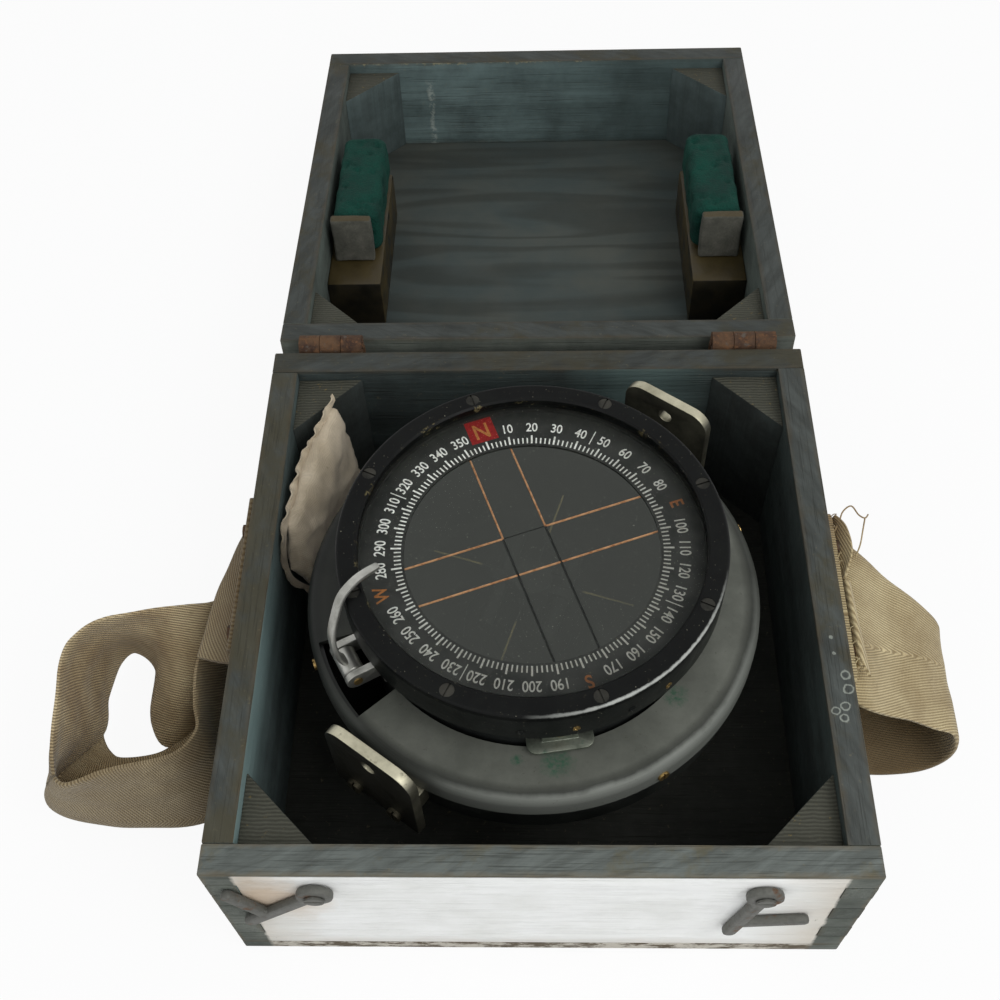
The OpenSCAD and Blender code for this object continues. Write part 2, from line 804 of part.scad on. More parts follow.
module lid_hinge_leaves() {
    color(rust) lid_open() for (x = [-hinge_x, hinge_x])
        translate([x, box_d / 2, hinge_z]) mirror([0, 0, 1]) hinge_leaf([0]);
}

module lid_hinge_screws() {
    color(rust) lid_open() translate([0, leaf_t, 0])
        leaf_screws_at(hinge_z + leaf_screw_drop)
            slotted_screw(screw_r, screw_len, screw_head_r, screw_head_t);
}

module stud_places() {
    both_sides() translate([hook_x, -box_d / 2, stud_z]) rotate([90, 0, 0]) children();
}

module latch_studs() {
    color(iron) lid_open() stud_places() translate([0, 0, stud_len])
        slotted_screw(stud_r, hook_screw_len + stud_len, stud_head_r, stud_head_t);
}

module pad_blocks() {
    color([0.30, 0.22, 0.10]) lid_open() both_sides()
        translate([pad_in_x, pad_y - pad_len / 2, pad_top_z])
            cube([inner_w / 2 - pad_in_x, block_len, roof_z - pad_top_z]);
}

module sponge_pads() {
    color([0.10, 0.37, 0.31]) lid_open() both_sides()
        translate([pad_in_x, pad_y - pad_len / 2, pad_z]) cube([pad_w, pad_len, pad_h]);
}

module pad_felts() {
    color([0.41, 0.41, 0.38]) lid_open() both_sides()
        translate([pad_in_x + pad_w - felt_w, pad_y + pad_len / 2, pad_z]) cube([felt_w, felt_t, pad_h]);
}

// Compass case

module case_screw_places(r) {
    for (a = case_screw_angles) rotate([0, 0, a])
        translate([r, 0, case_screw_z]) rotate([0, 90, 0]) children();
}

module lug_screw_places(r) {
    for (a = [lug_angle, lug_angle + 180], y = [-lug_screw_x, lug_screw_x]) rotate([0, 0, a])
        translate([r, y, lug_screw_z]) rotate([0, 90, 0]) children();
}

lug_screw_len = lug_in_r + lug_t - pan_r + pan_t;
case_screw_len = skirt_t + slip + pan_t;

module case_pan() {
    color(black) compass() difference() {
        rotate_extrude() polygon([
            [0, pan_z], [pan_base_r, pan_z], [pan_r, pan_turn_z], [pan_r, flange_under_z],
            [pan_r - pan_t, flange_under_z], [pan_r - pan_t, pan_turn_z + 1],
            [pan_base_r - 1, pan_floor_z], [0, pan_floor_z]
        ]);
        case_screw_places(flange_r) shank_hole(case_screw_r, case_screw_len);
        lug_screw_places(lug_in_r + lug_t) shank_hole(lug_screw_r, lug_screw_len);
    }
}

module case_flange() {
    color(alloy) compass() difference() {
        rotate_extrude() polygon(concat(
            [[flange_r - skirt_t, skirt_z], [flange_r, skirt_z]],
            arc([flange_r - lip_r, flange_z - lip_r], lip_r, 0, 90),
            [[flange_in_r, flange_z], [flange_in_r, flange_under_z], [flange_r - skirt_t, flange_under_z]]
        ));
        case_screw_places(flange_r) shank_hole(case_screw_r, case_screw_len);
        rotate([0, 0, clamp_angle - pocket_half]) rotate_extrude(angle = 2 * pocket_half)
            translate([flange_in_r - 1, flange_under_z - 1])
                square([pocket_out_r - flange_in_r + 1, flange_t + 2]);
    }
}

module case_screws() {
    color(brass) compass() case_screw_places(flange_r)
        slotted_screw(case_screw_r, case_screw_len, case_screw_head_r, case_screw_head_t);
}

module mounting_lugs() {
    color(nickel) compass() for (a = [lug_angle, lug_angle + 180]) rotate([0, 0, a]) difference() {
        union() {
            translate([lug_in_r, 0, 0]) rotate([90, 0, 90]) linear_extrude(lug_t) union() {
                translate([-lug_w / 2, lug_low_z]) square([lug_w, lug_top_z - lug_corner_r - lug_low_z]);
                translate([-lug_w / 2 + lug_corner_r, lug_low_z])
                    square([lug_w - 2 * lug_corner_r, lug_top_z - lug_low_z]);
                for (x = [-1, 1])
                    translate([x * (lug_w / 2 - lug_corner_r), lug_top_z - lug_corner_r])
                        circle(r = lug_corner_r);
            }
            difference() {
                translate([0, -lug_foot_w / 2, lug_low_z]) cube([lug_in_r + 1, lug_foot_w, lug_foot_h]);
                translate([0, 0, lug_low_z - 1]) cylinder(r = pan_r, h = lug_foot_h + 2);
            }
        }
        translate([0, 0, lug_top_z - lug_bore_drop]) rotate([0, 90, 0])
            cylinder(r = lug_bore_r, h = lug_in_r + lug_t + 5);
        for (y = [-lug_screw_x, lug_screw_x])
            translate([lug_in_r + lug_t, y, lug_screw_z]) rotate([0, 90, 0])
                shank_hole(lug_screw_r, lug_screw_len);
    }
}

module lug_screws() {
    color(nickel) compass() lug_screw_places(lug_in_r + lug_t)
        slotted_screw(lug_screw_r, lug_screw_len, lug_screw_head_r, lug_screw_head_t);
}

module corrector_housing() {
    color(black) compass() difference() {
        union() {
            difference() {
                ring(corrector_r, 0, case_z, pan_z);
                ring(corrector_r - corrector_t, 0, case_z + corrector_t, pan_z + 1);
            }
            ring(post_bearing_r, 0, case_z, pan_z);
        }
        for (a = spindle_angles) rotate([0, 0, a]) translate([0, 0, spindle_z]) rotate([0, 90, 0]) {
            translate([0, 0, spindle_in_r - gap]) cylinder(r = journal_r + slip, h = journal_len + 1);
            translate([0, 0, corrector_r - 2 * corrector_t])
                cylinder(r = spindle_r + slip, h = 4 * corrector_t);
        }
    }
}

// A key spindle along +X, with a screwdriver slot at its outer end
module spindle(a) {
    slot_w = 1.2;
    compass() rotate([0, 0, a]) translate([0, 0, spindle_z]) difference() {
        rotate([0, 90, 0]) union() {
            translate([0, 0, spindle_in_r]) cylinder(r = journal_r, h = journal_len + 2);
            translate([0, 0, post_bearing_r + gap])
                cylinder(r = spindle_r, h = spindle_out_r - post_bearing_r - gap);
        }
        translate([spindle_out_r - 1.5, -slot_w / 2, -spindle_r - 1]) cube([3, slot_w, 2 * spindle_r + 2]);
        translate([corrector_magnet_at, 0, -spindle_r - 1])
            cylinder(r = corrector_magnet_r + slip, h = 2 * spindle_r + 2);
    }
}

module spindle_magnet(a) {
    compass() rotate([0, 0, a])
        translate([corrector_magnet_at, 0, spindle_z - corrector_magnet_len / 2])
            cylinder(r = corrector_magnet_r, h = corrector_magnet_len);
}

module fore_aft_spindle() { color(brass) spindle(spindle_angles[0]); }
module athwart_spindle() { color(brass) spindle(spindle_angles[1]); }
module fore_aft_magnet() { color(iron) spindle_magnet(spindle_angles[0]); }
module athwart_magnet() { color(iron) spindle_magnet(spindle_angles[1]); }

// Bowl

module rubber_mounts() {
    color([0.08, 0.08, 0.08]) compass() for (a = [0 : 120 : 240])
        rotate([0, 0, a]) translate([rubber_at, 0, pan_floor_z]) cylinder(r = rubber_r, h = rubber_t);
}

module bowl_screw_places() {
    for (a = stop_angles) rotate([0, 0, a])
        translate([bowl_r + stop_t, 0, stop_screw_z]) rotate([0, 90, 0]) children();
    rotate([0, 0, clamp_angle])
        translate([bowl_r + bracket_t, 0, bracket_screw_z]) rotate([0, 90, 0]) children();
}

module bowl() {
    color(black) compass() difference() {
        rotate_extrude() polygon(concat(
            [[0, bowl_z]],
            arc([bowl_r - bowl_turn, bowl_z + bowl_turn], bowl_turn, -90, 0),
            [
                [bowl_r, bowl_rim_z], [bowl_in_r, bowl_rim_z], [bowl_in_r, ledge_z + ledge_t],
                [ledge_in_r, ledge_z + ledge_t], [ledge_in_r, ledge_z], [bowl_in_r, ledge_z - ledge_w]
            ],
            arc([bowl_r - bowl_turn, bowl_z + bowl_turn], bowl_turn - bowl_t, 0, -90),
            [[0, bowl_floor_z]]
        ));
        bowl_screw_places() shank_hole(screw_r, bowl_screw_len);
        rotate([0, 0, lug_angle]) translate([plug_at, 0, bowl_z - 1]) cylinder(r = plug_r + slip, h = 10);
    }
}

module bowl_seal() {
    color([0.07, 0.07, 0.07]) compass()
        ring(bowl_in_r - 2 * slip, ledge_in_r, ledge_z + ledge_t, bowl_glass_z);
}

module bowl_glass() {
    color(clear) compass() ring(bowl_in_r - 2 * slip, 0, bowl_glass_z, bowl_glass_z + bowl_glass_t);
}

module bowl_glass_lock() {
    color(black) compass()
        ring(bowl_in_r - 2 * slip, ledge_in_r, bowl_glass_z + bowl_glass_t, bowl_rim_z - gap);
}

module expansion_chamber() {
    color(brass) compass() difference() {
        ring(expander_r, expander_in_r, bowl_floor_z, bowl_floor_z + expander_h);
        for (r = [expander_in_r + 5 : 6 : expander_r - 4])
            ring(r + 1.5, r, bowl_floor_z + expander_h - 1.5, bowl_floor_z + expander_h + 1);
    }
}

module filler_plug() {
    color(brass) compass() rotate([0, 0, lug_angle]) translate([plug_at, 0, bowl_z])
        rotate([180, 0, 0]) slotted_screw(plug_r, bowl_t, plug_r + 1.5, 2.5);
}

module pivot_post() {
    point_h = 7;
    color(brass) compass() {
        ring(post_r * 2, 0, bowl_floor_z, bowl_floor_z + 3);
        ring(post_r, 0, bowl_floor_z, pivot_z - point_h);
        translate([0, 0, pivot_z - point_h]) cylinder(r1 = post_r, r2 = 0.3, h = point_h);
    }
}

module lubber_mark() {
    mark_w = 1.2;
    color([0.9, 0.9, 0.86]) compass() rotate([0, 0, lug_angle])
        translate([ledge_in_r - 3, -mark_w / 2, ledge_z + 0.5]) cube([3, mark_w, 2]);
}

module bowl_stops() {
    color(nickel) compass() for (a = stop_angles) rotate([0, 0, a]) difference() {
        union() {
            translate([0, -stop_leg_w / 2, stop_z]) cube([bowl_r + stop_t, stop_leg_w, stop_leg_h]);
            translate([0, -stop_w / 2, stop_z]) cube([stop_out_r - stop_corner_r, stop_w, stop_t]);
            translate([0, -stop_w / 2 + stop_corner_r, stop_z])
                cube([stop_out_r, stop_w - 2 * stop_corner_r, stop_t]);
            for (y = [-1, 1])
                translate([stop_out_r - stop_corner_r, y * (stop_w / 2 - stop_corner_r), stop_z])
                    cylinder(r = stop_corner_r, h = stop_t);
        }
        translate([0, 0, stop_z - 1]) cylinder(r = bowl_r, h = stop_leg_h + 2);
        translate([bowl_r + stop_t, 0, stop_screw_z]) rotate([0, 90, 0]) shank_hole(screw_r, bowl_screw_len);
    }
}

module bowl_screws() {
    color(brass) compass() bowl_screw_places()
        slotted_screw(screw_r, bowl_screw_len, bowl_screw_head_r, bowl_screw_head_t);
}

module clamp_bracket() {
    ear_r = 4.5;
    color(nickel) compass() rotate([0, 0, clamp_angle]) difference() {
        union() {
            translate([0, -bracket_w / 2, bracket_low_z])
                cube([bowl_r + bracket_t, bracket_w, bracket_top_z - bracket_low_z]);
            for (y = [-ear_at, ear_at]) {
                translate([0, y - ear_t / 2, clamp_pin_z - ear_r])
                    cube([clamp_pin_at, ear_t, 2 * ear_r]);
                translate([clamp_pin_at, y + ear_t / 2, clamp_pin_z]) rotate([90, 0, 0])
                    cylinder(r = ear_r, h = ear_t);
            }
        }
        translate([0, 0, bracket_low_z - 1]) cylinder(r = bowl_r, h = bracket_top_z - bracket_low_z + 2);
        translate([clamp_pin_at, bracket_w, clamp_pin_z]) rotate([90, 0, 0])
            cylinder(r = clamp_pin_r + slip, h = 2 * bracket_w);
        translate([bowl_r + bracket_t, 0, bracket_screw_z]) rotate([0, 90, 0])
            shank_hole(screw_r, bowl_screw_len);
    }
}

module clamp_pin() {
    color(brass) compass() rotate([0, 0, clamp_angle])
        translate([clamp_pin_at, bracket_w / 2 + 0.5, clamp_pin_z]) rotate([90, 0, 0])
            cylinder(r = clamp_pin_r, h = bracket_w + 1);
}

module clamp_lever() {
    arm_w = [6, 5, 4.4, 4, 3.8, 3.6, 3.4, 3];
    color([0.66, 0.66, 0.64]) compass() rotate([0, 0, clamp_angle]) difference() {
        union() {
            translate([clamp_pin_at, lever_w / 2, clamp_pin_z]) rotate([90, 0, 0])
                cylinder(r = boss_r, h = lever_w);
            for (i = [0 : len(lever_line) - 2]) hull() for (k = [i, i + 1])
                translate(lever_line[k]) scale([lever_t, arm_w[k], lever_t] / 2) sphere(r = 1, $fn = 16);
        }
        translate([clamp_pin_at, lever_w, clamp_pin_z]) rotate([90, 0, 0])
            cylinder(r = clamp_pin_r + slip, h = 2 * lever_w);
    }
}

// Grid ring

module bezel_screw_places(z) {
    for (i = [0 : bezel_screws_n - 1])
        rotate([0, 0, north_angle + i * 360 / bezel_screws_n])
            translate([bezel_screw_pcr, 0, z]) children();
}

module grid_ring() {
    color(black) compass() difference() {
        ring(ring_r, 0, ring_z, ring_top_z);
        ring(bowl_r + slip, 0, ring_z - 1, bowl_rim_z + gap);
        ring(ring_ledge_r, 0, ring_z, ring_top_z + 1);
        ring(ring_bore_r, 0, scale_z, ring_top_z + 1);
        bezel_screw_places(ring_top_z) shank_hole(bezel_screw_r, bezel_screw_len);
    }
}

module bezel() {
    edge = 1.5;
    color(black) compass() difference() {
        rotate_extrude() polygon(concat(
            [[bezel_in_r, bezel_z], [ring_r, bezel_z]],
            arc([ring_r - edge, bezel_top_z - edge], edge, 0, 90, 6),
            [[bezel_in_r + 0.8, bezel_top_z], [bezel_in_r, bezel_top_z - 0.8]]
        ));
        bezel_screw_places(bezel_top_z) {
            shank_hole(bezel_screw_r, bezel_t + 1);
            translate([0, 0, -bezel_head_t]) cylinder(r = bezel_head_r + slip, h = bezel_head_t + 1);
        }
    }
}

module bezel_screws() {
    shank = bezel_screw_len + bezel_t - bezel_head_t;
    color(iron) compass() bezel_screw_places(bezel_top_z - bezel_head_t)
        slotted_screw(bezel_screw_r, shank, bezel_head_r, bezel_head_t - 0.2);
}

// The scale ring's upright rim carries the glass clear of the figures
module scale_ring() {
    color([0.22, 0.23, 0.22]) compass() {
        ring(grid_seat_r, scale_in_r, scale_z, scale_top_z);
        ring(grid_seat_r, scale_rim_r, scale_z, grid_glass_z);
    }
}

module grid_wires() {
    color([0.72, 0.55, 0.38]) compass() rotate([0, 0, north_angle]) {
        for (turn = [0, 90], side = [-1, 1])
            rotate([0, 0, turn]) translate([-wire_reach, side * wire_off, wire_z]) rotate([0, 90, 0])
                cylinder(r = wire_r, h = 2 * wire_reach, $fn = 16);
    }
}

module grid_glass() {
    color(clear) compass() ring(grid_seat_r, 0, grid_glass_z, ring_top_z);
}

// Magnet system, turning on the pivot's point

module magnet_carrier() {
    arm_h = 2 * (magnet_r + carrier_wall);
    color(black) compass() rotate([0, 0, magnet_angle]) difference() {
        union() {
            ring(hub_r, 0, hub_low_z, hub_top_z);
            translate([-carrier_arm_w / 2, -magnet_off - arm_h / 2, magnet_z - arm_h / 2])
                cube([carrier_arm_w, 2 * magnet_off + arm_h, arm_h]);
            for (a = [0 : 90 : 270]) rotate([0, 0, a]) translate([hub_r - 1, 0, damper_z]) rotate([0, 90, 0])
                cylinder(r = damper_wire_r, h = damper_r - hub_r + 1, $fn = 16);
        }
        ring(post_r + post_clear, 0, hub_low_z - 1, pivot_z + slip);
        for (y = [-magnet_off, magnet_off]) translate([-magnet_len, y, magnet_z]) rotate([0, 90, 0])
            cylinder(r = magnet_r + slip, h = 2 * magnet_len);
    }
}

module bar_magnets() {
    color(iron) compass() rotate([0, 0, magnet_angle]) for (y = [-magnet_off, magnet_off])
        translate([-magnet_len / 2, y, magnet_z]) rotate([0, 90, 0]) cylinder(r = magnet_r, h = magnet_len);
}

front_wall();
rear_wall();
left_wall();
right_wall();
base_board();
tray_corner_blocks();
tray_hinge_leaves();
tray_hinge_screws();
hinge_pins();
latch_hook_left();
latch_hook_right();
latch_screws();
handle_strap_left();
handle_strap_right();
handle_nails();
cloth_bag();
lid_front_wall();
lid_rear_wall();
lid_left_wall();
lid_right_wall();
lid_panel();
lid_corner_blocks();
lid_hinge_leaves();
lid_hinge_screws();
latch_studs();
pad_blocks();
pad_felts();
sponge_pads();
case_pan();
case_flange();
case_screws();
mounting_lugs();
lug_screws();
corrector_housing();
fore_aft_spindle();
athwart_spindle();
fore_aft_magnet();
athwart_magnet();
rubber_mounts();
bowl();
bowl_seal();
bowl_glass();
bowl_glass_lock();
expansion_chamber();
filler_plug();
pivot_post();
lubber_mark();
bowl_stops();
bowl_screws();
clamp_bracket();
clamp_pin();
clamp_lever();
grid_ring();
bezel();
bezel_screws();
scale_ring();
grid_wires();
grid_glass();
magnet_carrier();
bar_magnets();
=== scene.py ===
import json
import math
import random

import bmesh
import bpy
from mathutils import Matrix, Vector, noise

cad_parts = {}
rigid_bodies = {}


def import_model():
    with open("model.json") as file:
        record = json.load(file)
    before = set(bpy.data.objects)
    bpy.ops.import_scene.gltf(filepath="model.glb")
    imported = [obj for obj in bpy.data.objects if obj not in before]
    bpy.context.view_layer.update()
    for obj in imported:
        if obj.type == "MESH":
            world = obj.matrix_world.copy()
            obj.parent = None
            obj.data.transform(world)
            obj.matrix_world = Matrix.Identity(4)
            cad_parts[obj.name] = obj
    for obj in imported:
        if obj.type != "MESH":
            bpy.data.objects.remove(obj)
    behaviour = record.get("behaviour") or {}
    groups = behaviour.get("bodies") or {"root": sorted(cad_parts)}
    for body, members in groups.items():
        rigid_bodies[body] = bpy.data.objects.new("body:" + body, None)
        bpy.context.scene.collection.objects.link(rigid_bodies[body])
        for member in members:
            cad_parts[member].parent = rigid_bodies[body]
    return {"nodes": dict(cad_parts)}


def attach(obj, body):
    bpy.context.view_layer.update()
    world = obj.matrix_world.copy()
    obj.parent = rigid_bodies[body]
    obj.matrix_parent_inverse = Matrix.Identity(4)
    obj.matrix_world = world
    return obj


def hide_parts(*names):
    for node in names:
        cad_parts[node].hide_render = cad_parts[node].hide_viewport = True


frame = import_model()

for thing in bpy.data.objects[:]:
    if thing.type in ("MESH", "LIGHT", "CAMERA") and thing.name not in frame["nodes"]:
        bpy.data.objects.remove(thing)
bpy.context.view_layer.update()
scene = bpy.context.scene
scene.view_settings.view_transform = "Standard"

# Camera
# It stands in front of the box and looks down into it, close by, so the lid's far edge draws in.
# Its place and lens come from the box's own corners.
look = Vector((-0.0308, 0.5676, -0.8227)).normalized()
across = Vector((0.9995, 0.0132, -0.0283))
across = (across - look * across.dot(look)).normalized()
camera = bpy.data.objects.new("camera", bpy.data.cameras.new("camera"))
camera.data.lens = 45.34
camera.data.sensor_width = 36
camera.data.clip_start = 0.01
camera.matrix_world = (Matrix.Translation((0.00082, -0.2705, 0.54225))
                       @ Matrix((across, across.cross(look), -look)).transposed().to_4x4())
scene.collection.objects.link(camera)
scene.camera = camera

# Tray boards
# Four deal boards, comb-jointed and glued at the corners, brushed with grey-green paint that has worn
# to the wood along its edges. The front board is white, stained brown round the latches.
MM = 0.001
BOX_W = 248 * MM
TRAY_TOP = 93
PINE = (118, 102, 76)
GREY_PAINT = (108, 113, 105)
GREY_SHADE = (80, 85, 79)
# The tray's inside grey is painted shade.
INSIDE_SHADE_GREY = (86, 97, 94)


def chip(red, green, blue):
    """A paint chip's 0-255 values as the linear colour that a shader takes."""
    levels = [c / 255 for c in (red, green, blue)]
    return tuple(c / 12.92 if c < 0.04 else ((c + 0.055) / 1.055) ** 2.4 for c in levels) + (1,)


# What is being worked on: a shader tree, and the sockets of its Principled shader
bench = {}


def join(socket, value):
    """Links or sets a socket of the shader tree on the bench."""
    if isinstance(value, bpy.types.NodeSocket):
        bench["tree"].links.new(value, socket)
    else:
        socket.default_value = value


def put(kind, sockets=None, **settings):
    made = bench["tree"].nodes.new("ShaderNode" + kind)
    for name, value in settings.items():
        setattr(made, name, value)
    for name, value in (sockets or {}).items():
        join(made.inputs[name], value)
    return made


def mixed(amount, first, second, *more):
    """A colour part of the way from first to second, then towards more colours, each after its own amount.

    A colour is a socket or the 0-255 values of a paint chip.
    """
    step = put("Mix", data_type="RGBA")
    for place, value in ((0, amount), (6, first), (7, second)):
        join(step.inputs[place], chip(*value) if isinstance(value, (tuple, list)) else value)
    return mixed(more[0], step.outputs[2], *more[1:]) if more else step.outputs[2]


def ranged(value, low, high, low_gives=0.0, high_gives=1.0):
    return put("MapRange", {
        "Value": value, "From Min": low, "From Max": high, "To Min": low_gives, "To Max": high_gives,
    }).outputs[0]


def maths(operation):
    return lambda first, second=0.0: put("Math", {0: first, 1: second}, operation=operation).outputs[0]


def vectors(operation, gives=0):
    return lambda *parts: put("VectorMath", dict(enumerate(parts)), operation=operation).outputs[gives]


plus, less, times, divided = (maths(name) for name in ("ADD", "SUBTRACT", "MULTIPLY", "DIVIDE"))
most, least, unsigned, sine = (maths(name) for name in ("MAXIMUM", "MINIMUM", "ABSOLUTE", "SINE"))
from_to, stretched, lower = (vectors(name) for name in ("SUBTRACT", "MULTIPLY", "MINIMUM"))
towards, apart, length = (vectors(name, "Value") for name in ("DOT_PRODUCT", "DISTANCE", "LENGTH"))


def in_mm():
    """The piece's own coordinates in millimetres."""
    place = put("TexCoord").outputs["Object"]
    return put("VectorMath", {"Vector": place, "Scale": 1000.0}, operation="SCALE").outputs[0]


def xyz(place=None):
    return put("SeparateXYZ", {0: place or in_mm()}).outputs


def cloud(size, detail=4.0, rough=0.6, place=None, stretch=(1, 1, 1), twist=0.0):
    """Noise whose lumps are about size millimetres across, stretched along an axis where asked."""
    return put("TexNoise", {
        "Vector": stretched(place or in_mm(), stretch), "Scale": 1.0 / size, "Detail": detail,
        "Roughness": rough, "Distortion": twist,
    }).outputs[0]


def about(noise_value, spread):
    """Noise brought to lie about 0, spread from side to side."""
    return times(less(noise_value, 0.5), spread)


def effect(name, takes, gives):
    """An empty shader group with these inputs and outputs."""
    group = bench["tree"] = bpy.data.node_groups.new(name, "ShaderNodeTree")
    for label, kind, value in takes:
        socket = group.interface.new_socket(name=label, in_out="INPUT", socket_type="NodeSocket" + kind)
        socket.default_value = value
    for label in gives:
        group.interface.new_socket(name=label, in_out="OUTPUT", socket_type="NodeSocketFloat")
    return group, group.nodes.new("NodeGroupInput").outputs, group.nodes.new("NodeGroupOutput").inputs


def placed(group, **values):
    return put("Group", values, node_tree=group).outputs


def blank_finish(name, **uniform):
    """A material put on the bench, whose one Principled shader has these plain values."""
    finish = bpy.data.materials.new(name)
    finish.use_nodes = True
    bench["tree"] = finish.node_tree
    bench["shader"] = finish.node_tree.nodes["Principled BSDF"].inputs
    for label, value in uniform.items():
        bench["shader"][label.replace("_", " ")].default_value = value
    return finish


def coloured(*colour):
    """Gives the finish on the bench its colour: one socket, or what mixed takes."""
    join(bench["shader"]["Base Color"], mixed(*colour) if len(colour) > 1 else colour[0])


def roughened(value, low, high, low_gives, high_gives):
    join(bench["shader"]["Roughness"], ranged(value, low, high, low_gives, high_gives))


def bumped(height, depth, strength=1.0):
    bump = put("Bump", {"Height": height, "Distance": depth * MM, "Strength": strength})
    join(bench["shader"]["Normal"], bump.outputs[0])


# Long streaks and short pores of sawn wood; Stretch is small along the grain.
plank_grain, taken, given = effect(
    "plank grain", [("Stretch", "Vector", (0.03, 1, 1)), ("Turn", "Float", 0.0)], ["Streak", "Pore"])
turned = put("VectorRotate", {"Vector": in_mm(), "Angle": taken["Turn"]}, rotation_type="Z_AXIS").outputs[0]
streaks = cloud(3.2, 5.0, 0.62, turned, taken["Stretch"], 0.5)
join(given["Streak"], ranged(streaks, 0.33, 0.68))
pores = cloud(0.7, 2.0, 0.5, turned, taken["Stretch"])
join(given["Pore"], ranged(pores, 0.56, 0.72))

# Wear along the edges of a squared piece that fills the box from Low to High, in metres.
edge_wear, taken, given = effect(
    "edge wear", [("Low", "Vector", (0, 0, 0)), ("High", "Vector", (0, 0, 0)), ("Reach", "Float", 3.0),
                  ("Ragged", "Float", 5.0)], ["Worn"])
here = put("TexCoord").outputs["Object"]
gaps = xyz(lower(from_to(here, taken["Low"]), from_to(taken["High"], here)))
to_edge = most(least(gaps[0], gaps[1]), least(most(gaps[0], gaps[1]), gaps[2]))
worn_line = plus(times(to_edge, 1000.0), about(cloud(9, 6.0, 0.7), taken["Ragged"]))
join(given["Worn"], ranged(worn_line, taken["Reach"], 0.0))

# Blotches a few centimetres across, and small specks of dirt.
old_dirt, taken, given = effect("old dirt", [("Size", "Float", 40.0)], ["Blotch", "Speck"])
lumps = put("TexNoise", {
    "Vector": in_mm(), "Scale": divided(1.0, taken["Size"]), "Detail": 5.0, "Roughness": 0.65}).outputs[0]
join(given["Blotch"], ranged(lumps, 0.35, 0.65))
join(given["Speck"], ranged(cloud(2.2, 3.0, 0.7), 0.64, 0.72))


def facing(direction):
    """How squarely the surface faces a direction, from 0 to 1."""
    return ranged(towards(put("TexCoord").outputs["Normal"], direction), 0.5, 0.9)


def extent(piece):
    """The piece's lowest and highest corner in its own coordinates."""
    corners = [v.co for v in piece.data.vertices]
    return [tuple(pick(c[i] for c in corners) for i in range(3)) for pick in (min, max)]


def painted_wood(piece, stretch, inward=None, rim=(0, 0, 1), olive=0.3, inside=INSIDE_SHADE_GREY, wear=2.2,
                 shade=0.72, relief=0.35):
    """Grey paint brushed along the grain, thin at the edges, worn olive on the rim, and on inward faces the
    inside colour, which in the tray is painted shade.

    shade scales the rim and its worn edges board by board, a painted light that is full on the front board,
    which faces the light; relief is how deep the grain stands in millimetres.
    """
    finish = blank_finish(piece.name + "_paint", Specular_IOR_Level=0.25)
    grain = placed(plank_grain, Stretch=stretch)
    slant = placed(plank_grain, Stretch=[0.12 if c < 1 else 0.55 for c in stretch], Turn=-0.42)
    dirt = placed(old_dirt, Size=34.0)
    low, high = extent(piece)
    worn = placed(edge_wear, Low=low, High=high, Reach=wear, Ragged=6.0)["Worn"]
    colour = mixed(
        dirt["Blotch"], GREY_SHADE, GREY_PAINT,
        ranged(grain["Streak"], 0.0, 1.0, 0.4, 0.0), (58, 61, 55))
    on_rim = facing(rim)
    # The rim's colours are scaled by shade, a painted light.
    rim_tone = mixed(slant["Streak"], [c * shade for c in (82, 86, 82)], [c * shade for c in (115, 121, 117)])
    rubbed_and_highlit = ranged(cloud(26, 5.0, 0.65), 0.62 - 0.34 * olive, 0.72 - 0.2 * olive)
    rim_tone = mixed(times(rubbed_and_highlit, 0.75), rim_tone, [c * shade for c in (98, 92, 68)])
    colour = mixed(on_rim, colour, rim_tone)
    if inward:
        # Inward faces take the inside colour with dark grain streaks; in the tray that colour is painted
        # shade.
        inside_tone_and_shade = mixed(
            dirt["Blotch"], [c * 0.72 for c in inside], inside,
            ranged(grain["Streak"], 0.0, 1.0, 0.25, 0.0), (52, 54, 48))
        colour = mixed(facing(inward), colour, inside_tone_and_shade)
    colour = mixed(
        times(worn, 0.4), colour, [c * shade for c in PINE],
        times(grain["Pore"], 0.35), (46, 46, 40),
        times(dirt["Speck"], 0.25), (130, 120, 92))
    coloured(colour)
    roughened(dirt["Blotch"], 0.0, 1.0, 0.85, 0.65)
    bumped(less(grain["Streak"], grain["Pore"]), relief, 0.7)
    piece.data.materials.append(finish)
    return colour


def mesh_piece(name, bm, body, slot, *nodes, crease=0.6, finish=None, outward=False):
    """Turns a bmesh into a smooth-shaded piece that rides on a body and stands for its CAD nodes."""
    if outward:
        bmesh.ops.recalc_face_normals(bm, faces=bm.faces)
    mesh = bpy.data.meshes.new(name)
    for face in bm.faces:
        face.smooth = True
    bm.to_mesh(mesh)
    bm.free()
    for left_over in ("custom_normal", "sharp_face"):
        if left_over in mesh.attributes:
            mesh.attributes.remove(mesh.attributes[left_over])
    mesh.set_sharp_from_angle(angle=crease)
    mesh.materials.clear()
    if finish:
        mesh.materials.append(finish)
    piece = bpy.data.objects.new(name, mesh)
    scene.collection.objects.link(piece)
    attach(piece, body)
    if nodes:
        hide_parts(*nodes)
    return piece


def solid(node):
    bm = bmesh.new()
    bm.from_mesh(frame["nodes"][node].data)
    bmesh.ops.remove_doubles(bm, verts=bm.verts, dist=1e-6)
    return bm


def worked(node, edge, shortest, clamp):
    """A copy of a node's solid with its flat faces cleaned and its sharp edges eased by edge metres."""
    bm = solid(node)
    bmesh.ops.dissolve_limit(bm, angle_limit=0.01, verts=bm.verts, edges=bm.edges)
    sharp = [e for e in bm.edges
             if len(e.link_faces) == 2 and e.calc_face_angle(0.0) > 0.7 and e.calc_length() > shortest]
    bmesh.ops.bevel(bm, geom=sharp, offset=edge, offset_type="OFFSET", segments=2, profile=0.5,
                    affect="EDGES", clamp_overlap=clamp)
    return bm


def eased(name, node, body, slot, edge, shortest=3.0, clamp=True, finish=None):
    """A piece worked from one node, its edges eased by so many millimetres."""
    return mesh_piece(name, worked(node, edge * MM, shortest * MM, clamp), body, slot, node, finish=finish)


